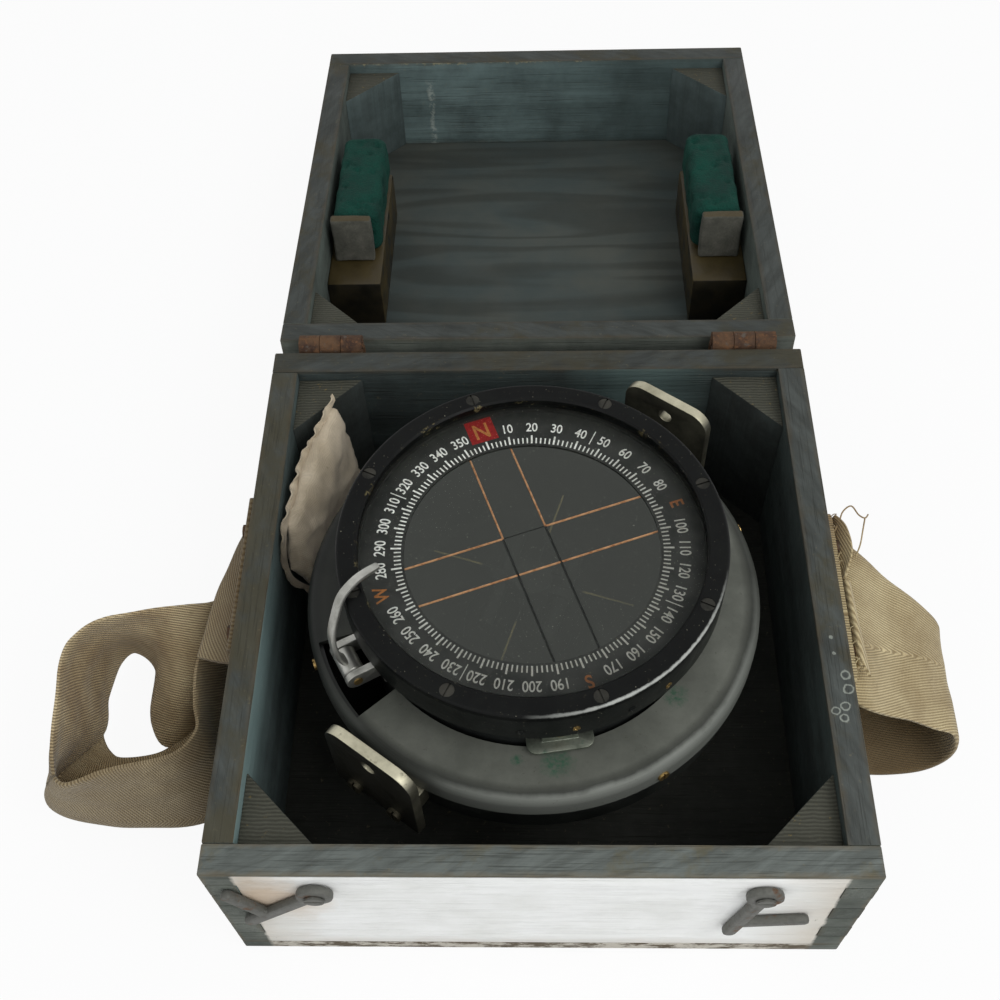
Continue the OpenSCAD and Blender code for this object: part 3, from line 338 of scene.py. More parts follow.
ALONG_X = (0.03, 1, 1)
ALONG_Y = (1, 0.03, 1)
ALONG_Z = (1, 1, 0.03)
front_board, rear_board, left_board, right_board = (
    eased(side + "_board", side + "_wall", "tray", "white_paint" if side == "front" else "grey_paint", 0.7)
    for side in ("front", "rear", "left", "right"))
# The rear board's inside is painted dark as shade, with a painted pool of light on its middle.
colour = painted_wood(rear_board, ALONG_X, (0, -1, 0), olive=0.6, inside=(66, 76, 75), shade=0.64)
spot = xyz()
painted_light_patch = times(ranged(unsigned(less(spot[0], 48.0)), 36.0, 10.0, 0.0, 0.55), facing((0, -1, 0)))
coloured(painted_light_patch, colour, (104, 126, 123))
# The left board's inside is a painted shaded grey, with a painted band of light near its top towards the
# front.
colour = painted_wood(left_board, ALONG_Y, (1, 0, 0), olive=0.7, inside=(88, 102, 101))
spot = xyz()
painted_light_patch = times(ranged(spot[2], 58.0, 84.0, 0.0, 0.65), ranged(spot[1], 30.0, -25.0))
painted_light_patch = times(painted_light_patch, facing((1, 0, 0)))
coloured(painted_light_patch, colour, (132, 156, 154))
# The right board's inside is painted darkest, as shade.
colour = painted_wood(right_board, ALONG_Y, (-1, 0, 0), olive=0.35, inside=(64, 74, 72))
RING_MARKS = [(120.7, -44.8, 1.7), (121, -50.9, 1.8), (114.9, -60, 1.5), (118.8, -58.1, 1.7),
              (117.7, -63.1, 1.4), (117.3, -28, 0.4), (117.5, -35.1, 0.4)]
for x, y, wide in RING_MARKS:
    away = plus(apart(in_mm(), (x, y, TRAY_TOP)), about(cloud(2, 3.0, 0.6), 1.6))
    mark = ranged(unsigned(less(away, wide)), 0.5, 0.15, 0.0, 0.55)
    colour = mixed(mark, colour, (176, 181, 170))
coloured(colour)
# The front board's rim keeps its full colour: painted light, where the light falls.
grey = painted_wood(front_board, ALONG_X, (0, 1, 0), olive=0.15, shade=1.0)
spot = xyz()
ragged = about(cloud(8, 6.0, 0.7), 3.5)
side_gap = plus(less(112.5, unsigned(spot[0])), ragged)
top_gap = plus(less(92.2, spot[2]), times(ragged, 0.25))
white_area = times(ranged(side_gap, 0.0, 1.5), ranged(top_gap, 0.0, 1.2))
white_area = times(white_area, facing((0, -1, 0)))
chips = ranged(cloud(5, 6.0, 0.75), 0.66, 0.70)
stain_lumps = cloud(30, 5.0, 0.6)
left_stain = ranged(plus(spot[0], times(stain_lumps, 50.0)), -62.0, -88.0)
low_stain = ranged(plus(spot[2], times(stain_lumps, 26.0)), 30.0, 14.0)
right_stain = ranged(less(spot[0], times(stain_lumps, 40.0)), 66.0, 92.0)
stain = most(most(left_stain, low_stain), right_stain)
along_barb = apart(in_mm(), (-100, -125, 66))
along_barb = plus(along_barb, times(stain_lumps, 30.0))
white = mixed(
    ranged(stain_lumps, 0.4, 0.7), (250, 250, 248), (238, 238, 234),
    times(stain, 0.45), (172, 150, 112),
    ranged(along_barb, 40.0, 24.0, 0.0, 0.5), (186, 146, 92),
    times(chips, ranged(stain, 0.0, 1.0, 0.12, 0.85)), (96, 84, 66))
coloured(white_area, grey, white)

# Base board
# A sheet of ply glued and pinned under the four boards; its edges are painted with the box, and its
# inside is painted dark, as shade in the deep tray.
base = eased("base_ply", "base_board", "tray", "ply", 0.6)
colour = painted_wood(base, ALONG_X, (0, 0, 1), inside=(40, 41, 36), wear=1.5)
spot = xyz()
chipped = ranged(cloud(7, 6.0, 0.75, stretch=(0.4, 1, 1)), 0.46, 0.54)
front_paint = times(facing((0, -1, 0)), ranged(unsigned(spot[0]), 113.0, 111.0))
edge_colour = mixed(chipped, (196, 190, 178), (92, 82, 66))
coloured(front_paint, colour, edge_colour)

# Corner blocks
# Three-cornered sticks glued upright into the tray's corners. Their tops are end grain, ribbed by the
# saw, under thin grey paint.
blocks = eased("tray_corner_sticks", "tray_corner_blocks", "tray", "grey_paint", 0.6)


def stick_finish(piece, end_up, dark=(42, 46, 44), light=(60, 66, 64)):
    finish = blank_finish(piece.name + "_paint", Specular_IOR_Level=0.3)
    grain = placed(plank_grain, Stretch=ALONG_Z)
    dirt = placed(old_dirt, Size=18.0)
    ribs = put("TexWave", {
        "Vector": in_mm(), "Scale": 0.2, "Distortion": 4.5, "Detail": 3.0, "Detail Scale": 0.6,
    }, wave_type="BANDS", bands_direction="Y").outputs[1]
    ends = mixed(
        ranged(ribs, 0.2, 0.8), (62, 62, 53), (78, 78, 68),
        times(dirt["Speck"], 0.6), (140, 120, 70))
    sides = mixed(
        dirt["Blotch"], dark, light,
        times(grain["Streak"], 0.3), (38, 38, 33))
    on_end = facing(end_up)
    coloured(on_end, sides, ends)
    roughened(dirt["Blotch"], 0.0, 1.0, 0.9, 0.7)
    bumped(plus(times(ribs, on_end), grain["Streak"]), 0.4, 0.7)
    piece.data.materials.append(finish)


stick_finish(blocks, (0, 0, 1))

# Hinges
# Two steel butt hinges let on to the backs of tray and lid, each held by four wood screws. They are
# brown with rust all over.
RUST = (98, 73, 52)


def rusted(name, light=RUST, dark=(58, 42, 34)):
    finish = blank_finish(name, Specular_IOR_Level=0.25)
    dirt = placed(old_dirt, Size=7.0)
    bloom = cloud(2.4, 5.0, 0.7)
    coloured(
        dirt["Blotch"], dark, light,
        ranged(bloom, 0.52, 0.7), (118, 84, 58),
        ranged(cloud(5.0, 4.0), 0.62, 0.7), (92, 84, 76))
    roughened(bloom, 0.3, 0.7, 0.65, 0.95)
    bumped(bloom, 0.5, 0.7)
    return finish


def dressed(finish, *nodes):
    for name in nodes:
        frame["nodes"][name].material_slots[0].material = finish


hinge_rust = rusted("hinge_rust")
dressed(hinge_rust, "hinge_pins", "tray_hinge_screws", "lid_hinge_screws")
for node, body in (("tray_hinge_leaves", "tray"), ("lid_hinge_leaves", "lid")):
    eased(node.replace("_hinge_leaves", "_butts"), node, body, "rusty_iron", 0.35, 1.5, False, hinge_rust)

# Latch hooks
# Two iron hooks cast flat, with their edges left round by the mould. Each turns on one slotted screw
# in the front board, and its barb catches a stud on the lid.
iron = blank_finish("cast_hook", Specular_IOR_Level=0.4, Metallic=0.35)
skin = cloud(1.6, 4.0, 0.6)
patches = cloud(9.0, 5.0, 0.7)
coloured(
    skin, (78, 78, 74), (110, 110, 104),
    ranged(patches, 0.56, 0.68), (96, 68, 46))
roughened(patches, 0.3, 0.7, 0.5, 0.8)
bumped(skin, 0.4, 0.6)
for side in ("left", "right"):
    eased("hook_" + side, "latch_hook_" + side, side + "_hook", "cast_iron", 1.1, 0.0, False, iron)
dressed(iron, "latch_screws", "latch_studs")

# Handles
# A length of ribbed cotton webbing on each side, folded into a loop and nailed to the wall. The left
# one stands open on its edge under a sloping flap; the right one falls in a flat loop.
WEB_SEAT = 1.5
RIB = 1.15


def spline(points, i, t):
    last = len(points) - 1
    a, b, c, d = (Vector(points[k]) for k in (max(i - 1, 0), i, i + 1, min(i + 2, last)))
    return 0.5 * (2 * b + (c - a) * t + (2 * a - 5 * b + 4 * c - d) * t ** 2
                  + (3 * b - a - 3 * c + d) * t ** 3)


def smooth_line(points, steps):
    line = [spline(points, i, s / steps) for i in range(len(points) - 1) for s in range(steps)]
    return line + [Vector(points[-1])]


def heading(line, i):
    """Which way a line runs at its point i."""
    return (line[min(i + 1, len(line) - 1)] - line[max(i - 1, 0)]).normalized()


def webbing(bm, lay, lines, side, slant, turn, steps=8, columns=26, ripple=0.5, thick=2.4, level=99):
    """Adds one length of webbing, stretched over lines in millimetres that run along it, to a bmesh.

    slant is the ribs' lean at each point of a line. It goes the other way past turn millimetres from the
    first line, and past the point numbered level the ribs lie level instead.
    """
    along = [smooth_line(line, steps) for line in lines]
    rows = []
    for i in range(len(along[0])):
        rib = [line[i] for line in along]
        spread = smooth_line(rib, columns // (len(rib) - 1)) if len(rib) > 2 else [
            rib[0].lerp(rib[1], k / columns) for k in range(columns + 1)]
        rows.append(spread)
    n, m = len(rows), len(rows[0])
    leans = [lean.x for lean in smooth_line([(lean, 0, 0) for lean in slant], steps)]
    middle, shift = [0.0], [0.0]
    for i in range(1, n):
        step = (rows[i][m // 2] - rows[i - 1][m // 2]).length
        middle.append(middle[-1] + step)
        shift.append(shift[-1] + step * math.sin(leans[i]))
    sheets = []
    for face in (1, -1):
        sheet = []
        for i in range(n):
            for j in range(m):
                run = rows[min(i + 1, n - 1)][j] - rows[max(i - 1, 0)][j]
                cross = rows[i][min(j + 1, m - 1)] - rows[i][max(j - 1, 0)]
                normal = run.cross(cross).normalized()
                rim = min(j, m - 1 - j)
                half = thick / 2 * (0.55 if rim == 0 else 1.0)
                p = rows[i][j].copy()
                loose = min(1.0, max(0.0, (p.x - 3.0) / 8.0))
                p += normal * ripple * loose * 2 * noise.noise((p.x * 0.06, p.y * 0.06, p.z * 0.09))
                p.x = max(p.x, WEB_SEAT)
                p += normal * half * face
                vert = bm.verts.new((side * (BOX_W / 2 + p.x * MM), p.y * MM, p.z * MM))
                width = (rows[i][m - 1] - rows[i][0]).length
                over = j / (m - 1) * width - turn
                across_rib = abs(over) * math.cos(leans[i]) - shift[i]
                if i > level * steps:
                    across_rib = 0.82 * p.y + 0.57 * p.z - 0.14 * p.x
                vert[lay] = Vector((across_rib, middle[i], over))
                sheet.append(vert)
        sheets.append(sheet)
    upper, under = sheets
    for i in range(n - 1):
        for a in range(i * m, i * m + m - 1):
            quad = (a, a + 1, a + m + 1, a + m)
            bm.faces.new([upper[k] for k in quad])
            bm.faces.new([under[k] for k in quad[::-1]])
    rim = ([(0, j) for j in range(m)] + [(i, m - 1) for i in range(1, n)]
           + [(n - 1, j) for j in range(m - 2, -1, -1)] + [(i, 0) for i in range(n - 2, 0, -1)])
    for k, (i, j) in enumerate(rim):
        r, c = rim[(k + 1) % len(rim)]
        bm.faces.new((upper[r * m + c], upper[i * m + j], under[i * m + j], under[r * m + c]))


def skinned(bm, rings, closed=True):
    """Covers a row of rings of points with faces, and closes its two ends."""
    count = len(rings[0])
    for a, b in zip(rings, rings[1:]):
        for k in range(count):
            bm.faces.new((a[k], a[(k + 1) % count], b[(k + 1) % count], b[k]))
    if closed:
        bm.faces.new(rings[0][::-1])
        bm.faces.new(rings[-1])


def loose_thread(bm, lay, points, radius=0.34):
    """Adds a pulled thread along points in millimetres."""
    line = smooth_line(points, 6)
    rings = []
    for i, p in enumerate(line):
        run = heading(line, i)
        side = run.cross(Vector((0.3, 0.2, 0.93))).normalized()
        lift = run.cross(side)
        ring = []
        for k in range(5):
            turn = 2 * math.pi * k / 5
            vert = bm.verts.new((p + (side * math.cos(turn) + lift * math.sin(turn)) * radius) * MM)
            vert[lay] = Vector((0.45, i * 0.4, 0))
            ring.append(vert)
        rings.append(ring)
    skinned(bm, rings)


def cotton(name, dark, light, line, stains_and_shade):
    """Ribbed cotton, dirty, with dark lines between its ribs.

    Each stain, and each band of painted shade, is an axis, the places in millimetres where it begins and is
    full, its strength and its colour.
    """
    finish = blank_finish(name, Specular_IOR_Level=0.15, Sheen_Weight=0.2, Sheen_Roughness=0.5)
    lay_at = xyz(put("Attribute", attribute_name="lay").outputs["Vector"])
    wander = about(cloud(12, 3.0), 0.7)
    over = plus(lay_at[0], wander)
    rib_wave = sine(times(over, 2 * math.pi / RIB))
    pick_wave = sine(plus(times(lay_at[1], 2 * math.pi / 0.8), rib_wave))
    thread = plus(times(rib_wave, 0.5), times(pick_wave, 0.15))
    soil = cloud(22, 5.0, 0.65)
    spot = xyz()
    colour = mixed(
        ranged(soil, 0.35, 0.68), dark, light,
        ranged(cloud(6, 5.0, 0.7), 0.62, 0.74, 0.0, 0.4), (112, 92, 68))
    for axis, begins, full, strength, tint in stains_and_shade:
        place = plus(spot[axis], about(soil, 18.0))
        colour = mixed(ranged(place, begins, full, 0.0, strength), colour, tint)
    colour = mixed(ranged(thread, -0.6, 0.4, 0.8, 0.0), colour, line)
    coloured(colour)
    roughened(soil, 0.3, 0.7, 0.95, 0.85)
    bumped(thread, 0.35, 0.8)
    return finish


bm = bmesh.new()
lay = bm.verts.layers.float_vector.new("lay")
webbing(bm, lay, [
    [(1.5, 22, 10), (1.5, 13, 10), (1.8, 4, 9), (3, -8, 8), (4, -26, 8), (6, -46, 9), (11, -66, 10),
     (27, -76, 11), (55, -77, 12), (77, -75, 14), (91, -69, 17), (93, -54, 13), (77, -32, 8), (79, -12, 5),
     (77, 6, 4), (70, 13, 4), (58, 2, 4), (56, -24, 4), (43, -36, 5), (20, -2, 7), (2.2, 28, 10),
     (1.5, 31, 10), (1.5, 38, 10)],
    [(1.5, 22, 62), (1.5, 13, 62), (5, 5, 62), (15, -6, 61), (22, -21, 60), (21, -40, 60), (18, -53, 60),
     (25, -63, 60), (40, -68, 60), (55, -72, 60), (69, -77, 60), (76, -68, 60), (80, -45, 60), (82, -18, 60),
     (78, -8, 60), (66, 0, 60), (48, 4, 60), (30, 6.5, 60), (19, 9, 60), (9, 17, 60), (2.2, 28, 60),
     (1.5, 31, 60), (1.5, 38, 60)],
], -1, [0.95] * 23, 6.0, level=10.5)
webbing(bm, lay, [
    [(3.5, 46, 70), (8, 37, 69), (13, 21, 68), (18, 0, 66), (20.5, -23, 66)],
    [(1.5, 44, 77), (1.7, 30, 77), (1.9, 10, 77), (2.1, -12, 77), (2.3, -31, 77)],
    [(1.5, 44, 89), (1.5, 30, 89), (1.5, 10, 89), (1.5, -12, 89), (1.5, -31, 89)],
], -1, [0.6] * 5, 0.0, steps=12)
# the end of the web, turned in under the near side of the loop
webbing(bm, lay, [
    [(16, -66, 10), (30, -73.5, 11), (55, -75.5, 12), (75, -73.8, 13.8), (89.5, -68.5, 16.5), (92.5, -57, 14),
     (86, -44, 10.5)],
    [(28, -18, 6.5), (40, -32, 5.6), (50, -40, 5), (66, -42.5, 5), (72, -40, 5.5), (76, -34, 7),
     (78, -26, 7)],
], -1, [0.95] * 7, 6.0, ripple=0.2)
# The last entry darkens the web towards the wall: painted shade cast by the box.
soiled_shaded_cotton = cotton("left_cotton", (184, 160, 122), (230, 210, 168), (84, 66, 42), [
    (1, -55, -72, 0.75, (136, 122, 96)), (0, -162, -130, 0.75, (82, 67, 45))])
mesh_piece("left_handle", bm, "tray", "webbing", "handle_strap_left",
           crease=1.2, finish=soiled_shaded_cotton, outward=True)

bm = bmesh.new()
lay = bm.verts.layers.float_vector.new("lay")
webbing(bm, lay, [
    [(1.5, -44, 89), (1.5, -49, 80), (8, -52, 77), (17, -51, 69), (29, -49, 60), (42, -48, 50), (52, -47, 41),
     (56, -48, 28), (52, -49, 14), (40, -50, 7), (22, -50, 6), (1.5, -50, 13), (1.5, -50, 27)],
    [(1.5, 34, 89), (1.5, 31, 80), (11, 24, 79), (22, 16, 72), (36, 8, 64), (47, 3, 56), (52, 0, 46),
     (53, -2, 32), (47, -4, 18), (32, -6, 10), (14, -8, 9), (1.5, -9, 14), (1.5, -9, 27)],
], 1, [-0.3] * 13, 29.0, columns=36)
# the hem on the wall, and the stained end of the web above it
webbing(bm, lay, [
    [(3.6, 1, 83), (3.7, -12, 83), (3.9, -24, 83), (4.2, -38, 82)],
    [(4.2, 1, 89.4), (4.4, -12, 89.6), (4.8, -24, 89.2), (5.4, -38, 88)],
    [(6.4, 1, 85.5), (7.0, -12, 85.5), (7.8, -24, 85), (8.8, -41, 84)],
], 1, [0.3] * 4, 0.0, columns=16, ripple=0.0, thick=1.2)
webbing(bm, lay, [
    [(3.4, 34, 83), (3.4, 24, 83), (3.4, 12, 83), (3.4, 1, 83)],
    [(4.0, 33.5, 89), (7.6, 27, 90.2), (8.4, 15, 90), (3.8, 2, 89)],
], 1, [0.3] * 4, 0.0, columns=8, ripple=0.4, thick=1.4)
loose_thread(bm, lay, [(127.5, 27, 86), (129.6, 30.5, 88), (131.4, 34.6, 90), (135.1, 36.7, 91),
                       (138.1, 33.6, 89), (140.9, 32.5, 88), (142.4, 34.1, 88.5)])
loose_thread(bm, lay, [(140.9, 32.5, 88), (139.2, 26.3, 87), (138, 21.3, 84), (136, 17, 81)])
random.seed(3)
for _ in range(8):
    y = random.uniform(-40, 33)
    root = Vector((random.uniform(125.8, 126.6), y, 88.6))
    tip = root + Vector((random.uniform(0.2, 2.5), random.uniform(-2.5, 2.5), random.uniform(1.0, 3.2)))
    loose_thread(bm, lay, [root, root.lerp(tip, 0.5) + Vector((0, 0.5, 0.3)), tip], 0.22)
# The first entry darkens the web towards the bottom of the loop: painted shade.
soiled_shaded_cotton = cotton("right_cotton", (182, 163, 124), (218, 201, 158), (118, 98, 66), [
    (2, 44, 18, 0.85, (84, 66, 46)), (1, 14, 30, 0.6, (124, 92, 62))])
mesh_piece("right_handle", bm, "tray", "webbing", "handle_strap_right",
           crease=1.2, finish=soiled_shaded_cotton, outward=True)
dressed(rusted("nail_rust", (96, 72, 52), (48, 42, 38)), "handle_nails")

# Cloth bag
# A small calico bag of drying crystals, pushed down between the case and the left wall. Its sides
# bulge, and a raw seam runs up its outer edge to a pinched corner.


def as_mesh(holder):
    """The mesh that an object shows, with its modifiers."""
    bpy.context.view_layer.update()
    return bpy.data.meshes.new_from_object(holder.evaluated_get(bpy.context.evaluated_depsgraph_get()))


def fill_with_air(bm, voxel, pressure, cap):
    """Blows a closed shape up as cloth under pressure, moving no point further than cap, and smooths it."""
    shape = bpy.data.meshes.new("filling")
    bm.to_mesh(shape)
    bm.free()
    holder = bpy.data.objects.new("filling", shape)
    scene.collection.objects.link(holder)
    remesh = holder.modifiers.new("remesh", "REMESH")
    remesh.mode = "VOXEL"
    remesh.voxel_size = voxel
    start = as_mesh(holder)
    holder.modifiers.clear()
    holder.data = start
    rest = [v.co.copy() for v in start.vertices]
    cloth = holder.modifiers.new("cloth", "CLOTH")
    cloth.settings.use_pressure = True
    cloth.settings.uniform_pressure_force = pressure
    cloth.settings.effector_weights.gravity = 0.0
    cloth.point_cache.frame_start = 1
    cloth.point_cache.frame_end = 20
    for step in range(1, 21):
        scene.frame_set(step)
    blown = as_mesh(holder)
    holder.modifiers.clear()
    scene.frame_set(1)
    for vert, was, now in zip(start.vertices, rest, [v.co.copy() for v in blown.vertices]):
        move = now - was
        vert.co = was + move * min(1.0, cap / max(move.length, 1e-9))
    holder.modifiers.new("smooth", "SUBSURF").levels = 1
    done = bmesh.new()
    done.from_mesh(as_mesh(holder))
    bpy.data.objects.remove(holder)
    return done


bm = solid("cloth_bag")
middle = sum((v.co for v in bm.verts), Vector()) / len(bm.verts)
for vert in bm.verts:
    vert.co = middle + (vert.co - middle) * 0.95
bm = fill_with_air(bm, 3.4 * MM, 4.0, 3 * MM)
bm.normal_update()
# the upright axis of the compass, which the bag leans against
AXIS = Vector((-2, -3, 0))
CASE_CLEAR = 94.9
WALL_FACE = -111.6


def kept_clear(p):
    """Holds a point of the bag, in millimetres, off the tray's wall and the compass case."""
    p = Vector((max(p.x, WALL_FACE), p.y, p.z))
    out = Vector((p.x - AXIS.x, p.y - AXIS.y, 0))
    if p.z < TRAY_TOP and out.length < CASE_CLEAR:
        p += out.normalized() * (CASE_CLEAR - out.length)
        p.x = max(p.x, WALL_FACE)
    return p


for vert, normal in [(v, v.normal.copy()) for v in bm.verts]:
    p = vert.co / MM
    crease = 1 - 2.4 * abs(noise.noise((p.x * 0.07, p.y * 0.055 + p.z * 0.03, p.z * 0.06)))
    pucker = noise.noise((p.x * 0.2, p.y * 0.2, p.z * 0.2 + 7))
    vert.co = kept_clear(p + normal * (1.5 * max(0.0, crease) - 1.0 + 0.7 * pucker)) * MM

# the raw seam: a puckered strip along the bag's outer edge, from its lower front corner up to the tip
SEAM = [(-99.7, 15.5, 57), (-108.7, 15.5, 70), (-109.2, 25, 87), (-107, 47.6, 88.6), (-104.4, 66, 88.8),
        (-98.5, 81, 91), (-92.6, 95.6, 95)]
LEAN = [(-0.4, -0.9, 0), (-0.5, -0.8, 0.3), (-0.45, -0.4, 0.8), (-0.5, -0.1, 0.85), (-0.5, -0.1, 0.85),
        (-0.5, 0.1, 0.85), (-0.1, 0.5, 0.85)]
seam_line = smooth_line(SEAM, 18)
leans = smooth_line(LEAN, 18)
rows = []
for i, (p, lean) in enumerate(zip(seam_line, leans)):
    lean = lean.normalized()
    run = heading(seam_line, i)
    side = run.cross(lean).normalized()
    wide = 3.2 + 1.6 * noise.noise((i * 0.21, 4.0, 0)) + 0.6 * noise.noise((i * 0.9, 1.0, 0))
    wave = 1.5 * noise.noise((i * 0.17, 9.0, 0)) + 0.9 * math.sin(i * 0.75)
    rows.append([bm.verts.new(kept_clear(p + lean * (wide * v - 1.2) + side * wave * v * v) * MM)
                 for v in (0, 0.25, 0.5, 0.75, 1.0)])
strip_faces = [bm.faces.new((a[k], a[k + 1], b[k + 1], b[k]))
               for a, b in zip(rows, rows[1:]) for k in range(4)]
bmesh.ops.recalc_face_normals(bm, faces=strip_faces)
bmesh.ops.solidify(bm, geom=strip_faces, thickness=0.7 * MM)
for vert in bm.verts:
    vert.co = kept_clear(vert.co / MM) * MM
bag = mesh_piece("calico_bag", bm, "tray", "bag_cloth", "cloth_bag", crease=1.4)
calico = blank_finish("calico", Specular_IOR_Level=0.15, Sheen_Weight=0.2, Sheen_Roughness=0.5)
mm = in_mm()
weave = {"Vector": mm, "Scale": 0.55, "Distortion": 0.6, "Detail": 1.0}
threads = times(*(put("TexWave", weave, bands_direction=way).outputs[1] for way in "YZ"))
soil = cloud(20, 5.0, 0.6)
colour = mixed(
    ranged(soil, 0.35, 0.65), (196, 180, 154), (232, 216, 190),
    ranged(cloud(7, 5.0, 0.7), 0.66, 0.74, 0.0, 0.5), (120, 102, 80),
    ranged(threads, 0.0, 0.6, 0.2, 0.0), (122, 110, 92))
spot = xyz(mm)
# The bag darkens towards its low front end: painted shade between the case and the wall.
shaded_low_end = plus(spot[1], about(soil, 24.0))
colour = mixed(ranged(shaded_low_end, 42.0, 14.0, 0.0, 0.75), colour, (76, 66, 50))
coloured(colour)
roughened(soil, 0.3, 0.7, 0.95, 0.85)
bumped(plus(times(threads, 0.3), cloud(9, 4.0, 0.6)), 0.9, 0.7)
bag.data.materials.append(calico)

# Lid boards and panel
# The lid is made as the tray is, four comb-jointed boards under a ply panel, and lies open on its back
# with its far edge on the table. Its inside is a bluer grey, and the ply shows through in brown bands.
lid_swing = math.radians(-184.3668)
hinge_line = Matrix.Translation((0, 131.2 * MM, 91 * MM))
lid_open = hinge_line @ Matrix.Rotation(lid_swing, 4, "X") @ hinge_line.inverted()
LID_BLUE = (110, 129, 128)


def lid_piece(name, bm, slot, *nodes, crease=0.6):
    """A piece of the lid, kept in its shut place in its own coordinates and laid open by its transform."""
    bmesh.ops.transform(bm, matrix=lid_open.inverted(), verts=bm.verts)
    piece = mesh_piece(name, bm, "lid", slot, *nodes, crease=crease)
    piece.matrix_world = lid_open
    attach(piece, "lid")
    return piece


for side, stretch, inward in (("front", ALONG_X, (0, 1, 0)), ("rear", ALONG_X, (0, -1, 0)),
                              ("left", ALONG_Y, (1, 0, 0)), ("right", ALONG_Y, (-1, 0, 0))):
    node = "lid_" + side + "_wall"
    board = lid_piece("lid_" + side + "_board", worked(node, 0.7 * MM, 3 * MM, True), "grey_paint", node)
    colour = painted_wood(board, stretch, inward, (0, 0, -1), 0.3,
                          LID_BLUE if side == "front" else (96, 105, 99), shade=0.66, relief=0.2)
    if side == "front":
        spot = xyz()
        inner = facing(inward)
        # The far wall's inside darkens to the right: painted shade.
        shaded = times(ranged(spot[0], -50.0, 70.0, 0.0, 0.6), inner)
        colour = mixed(shaded, colour, (46, 58, 57))
        off = unsigned(plus(spot[0], times(cloud(16, 3.0), 8.0)))
        off = unsigned(less(off, 60.0))
        scrape = times(ranged(off, 2.2, 0.6), ranged(cloud(3, 4.0, 0.7), 0.42, 0.56))
        scrape = times(scrape, ranged(spot[2], 104.0, 110.0, 0.0, 0.7))
        scrape = times(scrape, times(inner, ranged(spot[0], 0.0, -4.0)))
        colour = mixed(scrape, colour, (158, 166, 158))
        chipping = plus(spot[2], times(cloud(5, 6.0, 0.75), 14.0))
        chipped = times(ranged(chipping, 100.8, 99.4, 0.0, 0.7), inner)
        colour = mixed(times(chipped, ranged(spot[0], 50.0, 30.0)), colour, (150, 142, 110))
        coloured(colour)
panel = lid_piece("lid_ply", worked("lid_panel", 0.7 * MM, 3 * MM, True), "ply", "lid_panel")
colour = painted_wood(panel, ALONG_X, rim=(0, 0, 1), shade=0.9, relief=0.1)
figure = cloud(30, 2.0, 0.5, stretch=(0.12, 1, 1), twist=0.5)
bands = sine(times(figure, 26.0))
ply_tone = mixed(
    ranged(cloud(60, 4.0), 0.4, 0.65), (68, 76, 74), (80, 83, 77),
    ranged(bands, -0.4, 0.9, 0.0, 0.55), (50, 52, 47))
coloured(facing((0, 0, -1)), colour, ply_tone)
lid_sticks = lid_piece("lid_corner_sticks", worked("lid_corner_blocks", 0.6 * MM, 3 * MM, True), "grey_paint",
                       "lid_corner_blocks")
stick_finish(lid_sticks, (0, 0, -1), (66, 77, 76), (86, 99, 98))

# Lid pads
# Two wooden blocks screwed inside the lid, thick with brown varnish. Each carries a green rubber sponge
# that presses on the compass, and a grey felt glued to the sponge's end.


def soft_block(low, high, turn, cell, wobble, seed):
    """A block with rounded edges and slightly uneven faces, in millimetres, as a bmesh in metres."""
    size = [high[i] - low[i] for i in range(3)]
    counts = [max(2, round(s / cell)) for s in size]
    bm = bmesh.new()
    verts = {}

    def corner(i, j, k):
        if (i, j, k) not in verts:
            p = Vector([low[a] + size[a] * c / counts[a] for a, c in enumerate((i, j, k))])
            core = Vector([min(max(p[a], low[a] + turn), high[a] - turn) for a in range(3)])
            off = p - core
            if off.length > 1e-6:
                p = core + off.normalized() * turn
            sink = wobble * (0.5 + 0.5 * noise.noise(p * 0.11 + Vector((seed, 0, 0))))
            p -= off.normalized() * sink if off.length > 1e-6 else Vector()
            verts[i, j, k] = bm.verts.new(p * MM)
        return verts[i, j, k]

    for axis in range(3):
        u, v = (axis + 1) % 3, (axis + 2) % 3
        for end in (0, counts[axis]):
            for a in range(counts[u]):
                for b in range(counts[v]):
                    ring = []
                    for da, db in ((0, 0), (1, 0), (1, 1), (0, 1)):
                        at = [0, 0, 0]
                        at[axis], at[u], at[v] = end, a + da, b + db
                        ring.append(corner(*at))
                    bm.faces.new(ring if end else ring[::-1])
    return bm


def mirrored(bm):
    """Adds the same shape on the lid's other side."""
    twin = bmesh.ops.duplicate(bm, geom=bm.verts[:] + bm.edges[:] + bm.faces[:])["geom"]
    verts = [g for g in twin if isinstance(g, bmesh.types.BMVert)]
    bmesh.ops.scale(bm, vec=(-1, 1, 1), verts=verts)
    bmesh.ops.reverse_faces(bm, faces=[g for g in twin if isinstance(g, bmesh.types.BMFace)])


def shut_piece(name, bm, slot, node):
    """A lid piece drawn in the lid's shut place."""
    bmesh.ops.transform(bm, matrix=lid_open, verts=bm.verts)
    return lid_piece(name, bm, slot, node, crease=1.0)


block_wood = lid_piece("pad_blocks_wood", worked("pad_blocks", 1.5 * MM, 3 * MM, True), "varnished_wood",
                       "pad_blocks")
varnish = blank_finish("brown_varnish", Specular_IOR_Level=0.3, Coat_Weight=0.12, Coat_Roughness=0.2)
grain = placed(plank_grain, Stretch=ALONG_Y)
runs = cloud(10, 4.0, 0.6)
# The blocks' tops are painted lighter and their near ends near black: painted light and painted shade on the
# varnish.
coloured(
    ranged(runs, 0.38, 0.62), (16, 14, 6), (60, 50, 20),
    times(grain["Streak"], 0.4), (30, 24, 12),
    times(facing((0, 1, 0)), 0.75), (14, 12, 6),
    times(facing((0, 0, -1)), 0.7), (58, 48, 20))
roughened(runs, 0.3, 0.7, 0.45, 0.7)
bumped(runs, 0.8, 0.6)
block_wood.data.materials.append(varnish)

